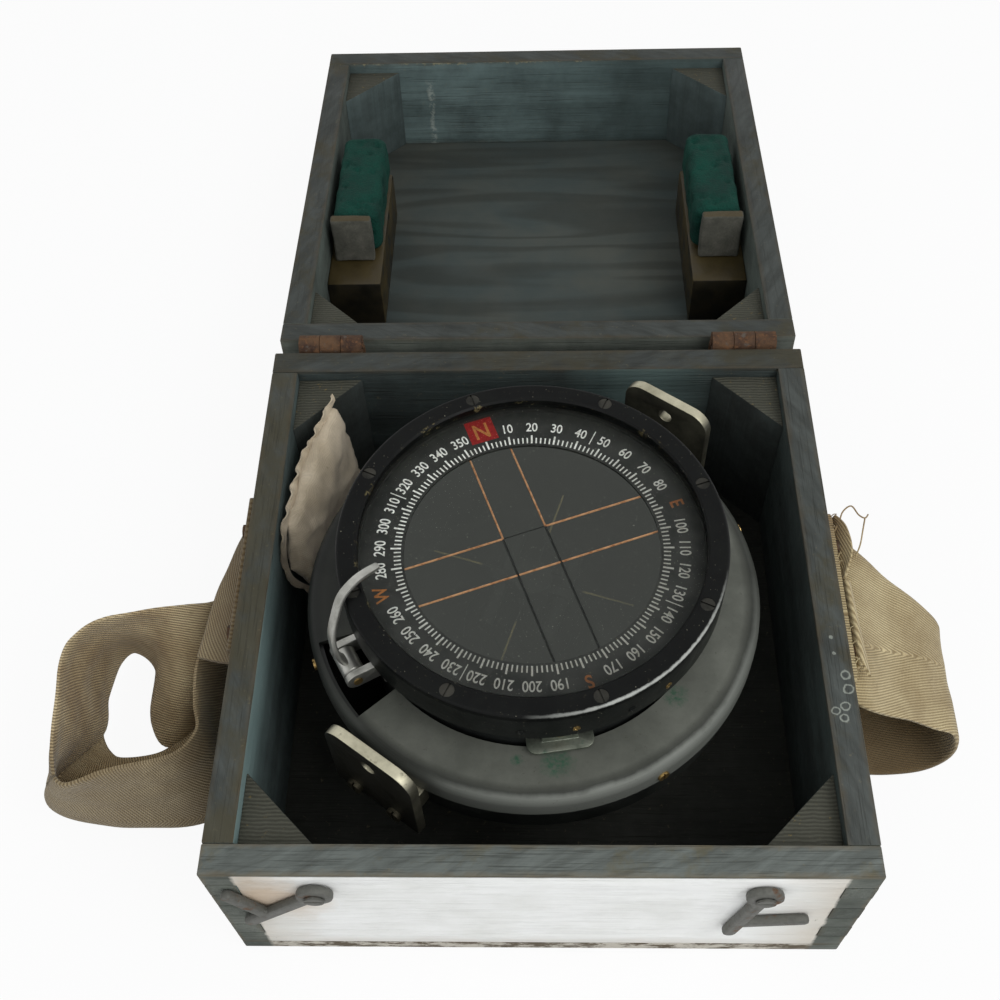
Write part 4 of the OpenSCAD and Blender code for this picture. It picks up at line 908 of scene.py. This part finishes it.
random.seed(7)
sponge_low, sponge_high = (83, -42, 92.6), (109, 30, 120.6)
bm = soft_block(sponge_low, sponge_high, 6.0, 1.4, 1.6, 3.1)
pits = []
for _ in range(90):
    face = random.choice(("x", "z", "y"))
    at = Vector([random.uniform(sponge_low[a] + 3, sponge_high[a] - 3) for a in range(3)])
    if face == "x":
        at.x = random.choice((sponge_low[0], sponge_high[0]))
    elif face == "z":
        at.z = sponge_low[2]
    else:
        at.y = random.choice((sponge_low[1], sponge_high[1]))
    pits.append((at, random.uniform(0.8, 2.2)))
bm.normal_update()
for vert in bm.verts:
    p = vert.co / MM
    for at, wide in pits:
        gap = (p - at).length
        if gap < 2 * wide:
            vert.co -= vert.normal * wide * 1.1 * math.exp(-(gap / wide) ** 2) * MM
mirrored(bm)
sponge = shut_piece("sponge_rubber", bm, "sponge", "sponge_pads")
foam = blank_finish("green_sponge", Specular_IOR_Level=0.2)
cells = put("TexVoronoi", {"Vector": in_mm(), "Scale": 1.1}).outputs[0]
tone = cloud(16, 5.0, 0.6)
coloured(
    ranged(tone, 0.35, 0.65), (8, 44, 37), (17, 66, 55),
    ranged(cells, 0.0, 0.4, 0.8, 0.0), (4, 22, 19),
    ranged(cloud(5, 5.0, 0.7), 0.66, 0.76, 0.0, 0.5), (62, 96, 82))
roughened(tone, 0.3, 0.7, 0.75, 0.95)
bumped(cells, 0.6, 0.7)
sponge.data.materials.append(foam)

bm = soft_block((87, 30, 92.6), (109, 36, 120.6), 1.6, 1.2, 0.7, 9.4)
mirrored(bm)
felt = shut_piece("felt_ends", bm, "felt", "pad_felts")
wool = blank_finish("grey_felt", Specular_IOR_Level=0.1, Sheen_Weight=0.04, Sheen_Roughness=0.6)
fuzz = cloud(1.1, 5.0, 0.75)
tone = cloud(9, 4.0, 0.6)
coloured(
    ranged(tone, 0.35, 0.65), (76, 76, 69), (104, 103, 94),
    ranged(fuzz, 0.35, 0.65, 0.4, 0.0), (54, 53, 46),
    times(facing((0, 0, -1)), 0.7), (84, 72, 48))
roughened(tone, 0.3, 0.7, 0.9, 1.0)
bumped(fuzz, 0.6, 0.8)
felt.data.materials.append(wool)

# Compass case
# A spun pan in black enamel under a flange of bare alloy with a rolled lip, screwed together round the
# side. The flange is dull and spotted, and green where brass has bled on to it. Its lip and far side
# are painted dark as shade, and the lip has a painted highlight on its near right.


def enamelled(name, base=(22, 24, 23), worn=(48, 50, 46), size=26.0, shine=0.25, dusty=0.75):
    """Black stove enamel, worn grey in patches and dusty."""
    finish = blank_finish(name, Specular_IOR_Level=shine)
    dirt = placed(old_dirt, Size=size)
    colour = mixed(
        ranged(dirt["Blotch"], 0.2, 1.0, 0.0, 0.45), base, worn,
        times(dirt["Speck"], 0.2), (92, 88, 72))
    dust = ranged(cloud(0.9, 2.0, 0.5), 0.72, 0.77, 0.0, dusty)
    colour = mixed(dust, colour, (150, 148, 130))
    coloured(colour)
    roughened(dirt["Blotch"], 0.0, 1.0, 0.3, 0.5)
    bumped(cloud(3.5, 4.0, 0.6), 0.12, 0.5)
    return finish


def round_axis(place):
    """A place's offset from the compass's axis, level, and how far that is."""
    flat = stretched(from_to(place, tuple(AXIS)), (1, 1, 0))
    return flat, length(flat)


enamel = enamelled("black_enamel")
dressed(enamel, "case_pan", "corrector_housing")
alloy = blank_finish("bare_alloy", Metallic=0.15, Specular_IOR_Level=0.2)
dirt = placed(old_dirt, Size=22.0)
place = in_mm()
flat, reach = round_axis(place)
colour = mixed(dirt["Blotch"], (90, 92, 85), (109, 111, 103))
# The rolled lip is painted dark as shade, with a painted highlight along its near right.
rubbed_and_highlit = ranged(plus(reach, times(cloud(12, 5.0), 3.0)), 91.6, 93.6)
colour = mixed(ranged(reach, 86.5, 90.5, 0.0, 0.9), colour, (38, 40, 36))
near_right = towards(flat, (0.5, -0.866, 0))
rubbed_and_highlit = times(rubbed_and_highlit, ranged(near_right, 40.0, 85.0, 0.1, 0.6))
colour = mixed(
    rubbed_and_highlit, colour, (140, 143, 136),
    times(dirt["Speck"], 0.4), (58, 56, 46))
# The flange's far left side is painted dark as shade.
shaded_far_side = towards(flat, (-0.95, 0.3, 0))
colour = mixed(ranged(shaded_far_side, 42.0, 74.0, 0.0, 0.9), colour, (28, 30, 28))
for spot_at, wide in (((7, -81, 92), 9.0), ((54, -53, 92), 7.0), ((-8, -80, 92), 3.5)):
    away = apart(place, spot_at)
    crust = plus(away, times(cloud(3.0, 6.0, 0.75), wide * 1.3))
    crumbs = ranged(cloud(1.8, 5.0, 0.75), 0.4, 0.6, 0.15, 0.8)
    bled = times(ranged(crust, wide * 1.45, wide * 0.95), crumbs)
    colour = mixed(bled, colour, (44, 88, 66))
coloured(colour)
roughened(dirt["Blotch"], 0.0, 1.0, 0.55, 0.4)
bumped(cloud(2.0, 4.0, 0.6), 0.08, 0.4)
dressed(alloy, "case_flange")


def metal(name, light, dark, rough=(0.3, 0.55), grime=(52, 48, 38), size=9.0):
    finish = blank_finish(name, Metallic=0.85)
    dirt = placed(old_dirt, Size=size)
    coloured(
        dirt["Blotch"], dark, light,
        ranged(cloud(4.0, 5.0, 0.7), 0.6, 0.74, 0.0, 0.7), grime)
    roughened(dirt["Blotch"], 0.0, 1.0, rough[1], rough[0])
    bumped(cloud(1.2, 3.0, 0.6), 0.06, 0.4)
    return finish


old_brass = metal("old_brass", (168, 140, 86), (96, 82, 54))
dressed(old_brass, "case_screws", "bowl_screws", "clamp_pin", "fore_aft_spindle", "athwart_spindle")
steel = metal("dull_steel", (120, 120, 116), (70, 70, 66))
dressed(steel, "fore_aft_magnet", "athwart_magnet")

# Mounting lugs
# Two plates of nickelled brass that stand up from the case, fore and aft, each bored for one bolt and
# screwed to the case by its foot. Their upward faces are painted light as a highlight, their other
# faces painted shade, darkest on the near lug's outward face.
nickel = blank_finish("old_nickel", Metallic=0.5)
dirt = placed(old_dirt, Size=14.0)
# Upward faces take a lit copy of the nickel and the rest a shaded copy: painted light and shade.
sides = mixed(dirt["Blotch"], (52, 51, 43), (88, 86, 73))
lit_tops = mixed(dirt["Blotch"], (150, 146, 124), (196, 191, 166))
shaded_near_lug = ranged(xyz()[1], 10.0, -10.0)
shaded_near_lug = times(shaded_near_lug, facing((-0.588, -0.809, 0)))
sides = mixed(shaded_near_lug, sides, (32, 31, 26))
coloured(
    facing((0, 0, 1)), sides, lit_tops,
    ranged(cloud(4.0, 5.0, 0.7), 0.6, 0.74, 0.0, 0.7), (50, 46, 34))
roughened(dirt["Blotch"], 0.0, 1.0, 0.5, 0.32)
bumped(cloud(1.2, 3.0, 0.6), 0.06, 0.4)
eased("lug_plates", "mounting_lugs", "compass", "nickel", 0.5, 0.3, False, nickel)
dressed(metal("lug_screw_metal", (72, 68, 54), (38, 36, 28), (0.45, 0.65)), "lug_screws")

# Bowl and its fittings
# The black bowl stands on rubber inside the case, closed by its own glass over the damping liquid. Stop
# tabs of nickelled brass hold it down at the flange.
inner_black = enamelled("inner_black", (34, 36, 35), (46, 48, 46), 30.0, 0.1, 0.0)
dressed(inner_black, "bowl", "bowl_glass_lock", "expansion_chamber", "pivot_post", "filler_plug",
        "bar_magnets")
rubber = blank_finish("black_rubber", Specular_IOR_Level=0.3)
dust = cloud(5, 4.0)
coloured(dust, (20, 20, 20), (40, 40, 38))
roughened(dust, 0.3, 0.7, 0.7, 0.9)
dressed(rubber, "rubber_mounts", "bowl_seal")
ivory = blank_finish("ivory_paint")
dust = cloud(2, 4.0)
coloured(dust, (190, 182, 160), (226, 222, 206))
roughened(dust, 0.3, 0.7, 0.5, 0.7)
dressed(ivory, "lubber_mark")
tab_metal = metal("stop_tab_metal", (132, 136, 124), (84, 90, 80), (0.35, 0.6), (58, 92, 76), 8.0)
eased("stop_tabs", "bowl_stops", "compass", "nickel", 0.3, 0.3, False, tab_metal)


def clear_glass(name, ior, dark=(250, 252, 252), light=(250, 252, 252), painted_reflection_glow=(0, 0, 0)):
    """Dusty glass that lets light through on to what is under it.

    It glows faintly and evenly, a painted reflection of a pale room, and its dust specks glow brighter, as
    painted light.
    """
    finish = blank_finish(name, Transmission_Weight=1.0, IOR=ior, Roughness=0.0, Emission_Strength=1.0)
    cloudy = ranged(cloud(30, 3.0), 0.35, 0.65)
    coloured(cloudy, dark, light)
    path = put("LightPath").outputs
    lighting = most(path["Is Shadow Ray"], path["Is Diffuse Ray"])
    join(bench["shader"]["Alpha"], less(1.0, lighting))
    # Dust specks that glow: painted light.
    dust = ranged(cloud(0.9, 2.0, 0.5), 0.73, 0.78, 0.0, 0.8)
    join(bench["shader"]["Emission Color"], mixed(dust, painted_reflection_glow, (112, 112, 102)))
    return finish


# The bowl glass glows evenly, a painted reflection of a pale room, over a grey tint.
dressed(clear_glass("bowl_glass_tinted_glowing", 1.01, (134, 136, 131), (148, 150, 144), (52, 53, 51)), "bowl_glass")

# Clamp
# A cast bracket on the bowl's side holds a curved arm of pale alloy on a brass pin. The arm swings over
# the bezel and grips the grid ring.
bright = metal("pale_alloy", (186, 186, 180), (140, 140, 134), (0.3, 0.45), (96, 94, 86), 12.0)
eased("clamp_ears", "clamp_bracket", "compass", "nickel", 0.4, 0.3, False, bright)
ARM = [(83.4, -0.1, 102.7), (86, -0.5, 110), (85.5, -3.5, 119), (81, -7, 127.5), (76.5, -10, 132.2),
       (70, -12.5, 134), (64.5, -14, 133.8), (59.5, -15.5, 132.2)]
ARM_WIDE = [6, 5, 4.4, 4, 3.8, 3.6, 3.4, 3]


def on_axis(angle):
    """Turns a shape drawn along x to an angle round the compass's axis."""
    return Matrix.Translation(AXIS * MM) @ Matrix.Rotation(math.radians(angle), 4, "Z")


clamp_place = on_axis(209)
bm = bmesh.new()
line = smooth_line(ARM, 6)
wide = [w.x for w in smooth_line([(w, 0, 0) for w in ARM_WIDE], 6)]
rings = []
for i, p in enumerate(line):
    run = heading(line, i)
    flat = (Vector((0, 1, 0)) - run * run.y).normalized()
    lift = run.cross(flat)
    rounding = [(1.0, 0.0), (0.8, 0.7), (0.4, 1.0)][::1 if i else -1]
    for fat, on in rounding if i in (0, len(line) - 1) else [(1.0, 0.0)]:
        ring = []
        for k in range(16):
            c, d = math.cos(math.pi * k / 8), math.sin(math.pi * k / 8)
            out = fat * (c ** 4 + d ** 4) ** -0.25
            at = p + flat * wide[i] / 2 * c * out + lift * 1.2 * d * out + run * (on if i else -on)
            ring.append(bm.verts.new(clamp_place @ (at * MM)))
        rings.append(ring)
skinned(bm, rings)
boss = [(2.0, -5.5), (4.0, -5.5), (4.5, -5.0), (4.5, 5.0), (4.0, 5.5), (2.0, 5.5)]
turns = []
for k in range(32):
    c, d = math.cos(math.pi * k / 16), math.sin(math.pi * k / 16)
    turns.append([bm.verts.new(clamp_place @ (Vector((82.5 + r * c, y, 100 + r * d)) * MM)) for r, y in boss])
skinned(bm, turns + turns[:1], False)
mesh_piece("clamp_arm", bm, "clamp", "nickel", "clamp_lever", finish=bright, outward=True)

# Grid ring and bezel
# A black ring that turns on the bowl's rim, with a bezel held down by slotted screws. The enamel is
# rubbed thin and dusty, the bezel's outer edge has a painted highlight on its near side, and the
# screw heads are bare.
ring_enamel = enamelled("ring_enamel", (16, 18, 17), (34, 36, 33), 18.0, 0.16)
dressed(ring_enamel, "grid_ring")
rim_enamel = enamelled("bezel_enamel", (8, 9, 9), (20, 22, 20), 18.0, 0.1)
colour = bench["shader"]["Base Color"].links[0].from_socket
flat, reach = round_axis(in_mm())
near_side = towards(flat, (0.616, -0.788, 0))
height = xyz()[2]
ragged = about(cloud(4, 5.0, 0.7), 1.6)
# A painted highlight along the bezel's outer top edge on its near side.
painted_edge_highlight = times(ranged(plus(reach, ragged), 75.8, 76.4), ranged(plus(height, ragged), 128.4, 129.1))
painted_edge_highlight = times(painted_edge_highlight, ranged(near_side, 58.0, 74.0, 0.0, 0.85))
colour = mixed(painted_edge_highlight, colour, (186, 188, 182))
flaked = times(ranged(plus(reach, times(ragged, 1.5)), 69.9, 69.2),
               ranged(near_side, 10.0, -30.0, 0.0, 0.7))
flaked = times(flaked, ranged(cloud(7, 5.0, 0.75), 0.58, 0.64))
colour = mixed(flaked, colour, (124, 114, 80))
coloured(colour)
dressed(rim_enamel, "bezel")
dressed(metal("screw_steel", (60, 59, 54), (36, 36, 33), (0.4, 0.6)), "bezel_screws")
SIDE_SCREW_R = 1.5
SIDE_SCREW_HIGH = 0.6
SIDE_SCREW_Z = 117


def small_screw(bm, angle):
    """Adds a small slotted screw head to the ring's side; millimetres."""
    turn = (on_axis(angle) @ Matrix.Translation((76.9 * MM, 0, SIDE_SCREW_Z * MM))
            @ Matrix.Rotation(math.radians(35), 4, "X"))
    reach = [0.12, 0.2, 0.5, 0.85, 1.0, 1.0]
    rings = []
    for n, part in enumerate(reach):
        ring = []
        for k in range(24):
            y = part * SIDE_SCREW_R * math.cos(math.pi * k / 12)
            v = part * SIDE_SCREW_R * math.sin(math.pi * k / 12)
            slot = 0.3 if abs(y) < 0.24 else 0
            up = 0.0 if n == len(reach) - 1 else SIDE_SCREW_HIGH * (1 - 0.35 * part * part) - slot
            ring.append(bm.verts.new(turn @ (Vector((up, y, v)) * MM)))
        rings.append(ring)
    skinned(bm, rings)


for name, finish, angles in (("ring_side_screws", ring_enamel, (-93.1, -61.5)),
                             ("ring_side_brass", old_brass, (-77.9, -48.9))):
    bm = bmesh.new()
    for angle in angles:
        small_screw(bm, angle)
    mesh_piece(name, bm, "grid", "brass", finish=finish, outward=True)

# Scale ring
# A flat ring in grey-black paint with its figures, ticks and quarter marks put on in paint. The north
# mark is a red square.
SCALE_TOP = 120.8
NORTH = 110.0
PAINT_THICK = 0.08
dial = blank_finish("dial_paint", Specular_IOR_Level=0.3)
dirt = placed(old_dirt, Size=16.0)
coloured(
    dirt["Blotch"], (29, 30, 27), (44, 45, 41),
    ranged(cloud(1.0, 4.0, 0.7), 0.68, 0.74, 0.0, 0.7), (150, 140, 100))
roughened(dirt["Blotch"], 0.0, 1.0, 0.7, 0.5)
dressed(dial, "scale_ring")


def bar(bm, angle, r_in, r_out, width):
    """A flat painted bar on the scale, lying along a radius; millimetres."""
    turn = on_axis(angle)
    corners = [(r_in, -width / 2), (r_out, -width / 2), (r_out, width / 2), (r_in, width / 2)]
    low = [bm.verts.new(turn @ (Vector((x, y, SCALE_TOP)) * MM)) for x, y in corners]
    top = [bm.verts.new(v.co + Vector((0, 0, PAINT_THICK * MM))) for v in low]
    bm.faces.new(top)
    bm.faces.new(low[::-1])
    for i in range(4):
        bm.faces.new((low[i], low[(i + 1) % 4], top[(i + 1) % 4], top[i]))


def figure_on(bm, text, bearing, r, height, narrow, z, bold=0.0):
    """Adds a painted figure to the scale with its top outwards; millimetres."""
    curve = bpy.data.curves.new("figure", "FONT")
    curve.body = text
    curve.size = height / 0.72 * MM
    curve.align_x = "CENTER"
    curve.extrude = 0.04 * MM
    curve.offset = bold * MM
    holder = bpy.data.objects.new("figure", curve)
    scene.collection.objects.link(holder)
    mesh = as_mesh(holder)
    bpy.data.objects.remove(holder)
    bpy.data.curves.remove(curve)
    middle = height / 2 * MM
    turn = (on_axis(NORTH - bearing - 90)
            @ Matrix.Translation((0, r * MM - middle, (z + 0.05) * MM)) @ Matrix.Scale(narrow, 4, (1, 0, 0)))
    mesh.transform(turn)
    bm.from_mesh(mesh)
    bpy.data.meshes.remove(mesh)


def paint_mark(name, light, dark, dim=(104, 100, 88)):
    """Paint that is dimmer towards the near right side of the dial."""
    finish = blank_finish(name, Specular_IOR_Level=0.2)
    dust = cloud(1.2, 5.0, 0.7)
    near = towards(in_mm(), (0.64, -0.77, 0))
    colour = mixed(ranged(dust, 0.4, 0.72), light, dark)
    coloured(ranged(near, -42.0, 24.0, 0.0, 0.7), colour, dim)
    roughened(dust, 0.3, 0.7, 0.6, 0.8)
    return finish


bm = bmesh.new()
for bearing in range(0, 360, 2):
    long = bearing % 10 == 0
    bar(bm, NORTH - bearing, 52.0, 56.2 if long else 54.8, 0.74 if long else 0.58)
for bearing in (45, 135, 225, 315):
    bar(bm, NORTH - bearing, 56.6, 63.8, 0.4)
for bearing in range(10, 360, 10):
    if bearing % 90:
        figure_on(bm, str(bearing), bearing, 60.6, 4.5, 0.8, SCALE_TOP, 0.06)
mesh_piece("scale_figures", bm, "grid", "ivory_paint",
           finish=paint_mark("scale_white", (250, 250, 243), (178, 176, 164)))
bm = bmesh.new()
bar(bm, NORTH, 56.5, 68.5, 11.8)
mesh_piece("north_square", bm, "grid", "dial_paint",
           finish=paint_mark("north_red", (146, 36, 34), (104, 28, 26), (84, 30, 26)))
bm = bmesh.new()
for letter, bearing, height in (("N", 0, 8.0), ("E", 90, 5.6), ("S", 180, 5.6), ("W", 270, 5.6)):
    figure_on(bm, letter, bearing, 62.4, height, 0.85, SCALE_TOP + (0.1 if bearing == 0 else 0), 0.12)
mesh_piece("quarter_letters", bm, "grid", "dial_paint",
           finish=paint_mark("quarter_tan", (184, 120, 64), (126, 84, 50), (92, 58, 40)))

# Grid wires
# Two pairs of flat wires crossing under the scale. The northern arms and the crossbars are coated in
# copper-coloured paint; the rest is bare and dark.
WIRE_Z = 119.2
WIRE_THICK = 0.5


def strip(bm, start, end, width):
    """A flat wire between two points of the grid, given as [east, north] in millimetres."""
    turn = Matrix.Translation((0, 0, WIRE_Z * MM)) @ on_axis(NORTH - 90)
    a, b = Vector((*start, 0)), Vector((*end, 0))
    side = (b - a).normalized().cross(Vector((0, 0, 1))) * width / 2
    outline = ((-1, -0.3), (-0.7, 0.4), (0.7, 0.4), (1, -0.3), (0, -0.5))
    ring = [side * u + Vector((0, 0, WIRE_THICK * w)) for u, w in outline]
    ends = [[bm.verts.new(turn @ ((p + q) * MM)) for q in ring] for p in (a, b)]
    skinned(bm, ends)


copper = blank_finish("copper_paint", Specular_IOR_Level=0.3, Metallic=0.2)
flakes = cloud(2.5, 5.0, 0.7)
coloured(ranged(flakes, 0.4, 0.68), (188, 142, 102), (138, 90, 56))
roughened(flakes, 0.3, 0.7, 0.45, 0.7)
REACH = 55.0
bm = bmesh.new()
for side in (-1, 1):
    strip(bm, (side * 9, 9), (side * 9, REACH), 0.85)
    strip(bm, (side * 9, 9), (side * REACH, 9), 0.85)
strip(bm, (-REACH, -9), (REACH, -9), 0.85)
mesh_piece("coated_wires", bm, "grid", "copper_wire", "grid_wires", finish=copper, outward=True)
bm = bmesh.new()
strip(bm, (-8.5, 9), (8.5, 9), 0.35)
for side in (-1, 1):
    strip(bm, (side * 9, 8.6), (side * 9, -REACH), 1.0)
dark_wire = enamelled("dark_wire", (40, 41, 39), (50, 51, 48), 6.0, 0.1, 0.0)
mesh_piece("bare_wires", bm, "grid", "copper_wire", finish=dark_wire, outward=True)

# Grid glass
# A disc of flat glass seated under the bezel, dusty on top, that turns with the ring. Its dust specks
# glow faintly, as painted light.
dressed(clear_glass("grid_glass_clear", 1.02), "grid_glass")

# Magnet system
# A black carrier turning on the pivot, with two bar magnets under it and four fine damping wires that
# reach out towards the bowl's side.
carrier = blank_finish("carrier_black", Specular_IOR_Level=0.3)
centred = from_to(in_mm(), (AXIS.x, AXIS.y, 98))
reach = length(centred)
tone = cloud(4, 4.0)
black = mixed(tone, (26, 27, 27), (34, 36, 35))
coloured(ranged(reach, 21.0, 23.0), black, (150, 136, 92))
roughened(tone, 0.3, 0.7, 0.5, 0.7)
dressed(carrier, "magnet_carrier")

# Floor and light
# A pale floor under soft studio light from above, and a white surround.
bm = bmesh.new()
bmesh.ops.create_grid(bm, x_segments=1, y_segments=1, size=4.0)
floor_mesh = bpy.data.meshes.new("floor")
bm.to_mesh(floor_mesh)
bm.free()
floor = bpy.data.objects.new("floor", floor_mesh)
floor.location.z = -0.0005
scene.collection.objects.link(floor)


def seen():
    """1 for what the camera sees straight, in a mirror or through glass."""
    path = put("LightPath").outputs
    either = most(path["Is Camera Ray"], path["Is Glossy Ray"])
    return most(either, path["Is Transmission Ray"])


pale = blank_finish("pale_floor")
bench["tree"].nodes.clear()
matt = put("BsdfDiffuse", {"Color": (0.85, 0.85, 0.85, 1)})
glow = put("Emission", {"Color": (1, 1, 1, 1), "Strength": 1.0})
both = put("MixShader", {0: times(seen(), 0.93), 1: matt.outputs[0], 2: glow.outputs[0]})
join(put("OutputMaterial").inputs[0], both.outputs[0])
floor_mesh.materials.append(pale)
world = bpy.data.worlds.new("surround")
scene.world = world
world.use_nodes = True
bench["tree"] = world.node_tree
bench["tree"].nodes.clear()
soft = put("Background", {"Color": (0.95, 0.98, 1.0, 1), "Strength": 0.5})
white = put("Background", {"Color": (1, 1, 1, 1), "Strength": 1.0})
both = put("MixShader", {0: seen(), 1: soft.outputs[0], 2: white.outputs[0]})
join(put("OutputWorld").inputs[0], both.outputs[0])


def lamp(name, place, aim, size, power):
    light = bpy.data.lights.new(name, "AREA")
    light.size = size
    light.energy = power
    holder = bpy.data.objects.new(name, light)
    holder.location = place
    holder.rotation_euler = (Vector(aim) - Vector(place)).to_track_quat("-Z", "Y").to_euler()
    scene.collection.objects.link(holder)


lamp("key_lamp", (0.75, -0.6, 1.15), (0, 0.05, 0.05), 0.9, 9.6)
lamp("fill_lamp", (-0.7, -1.0, 0.9), (0, 0.05, 0.05), 1.0, 2.6)
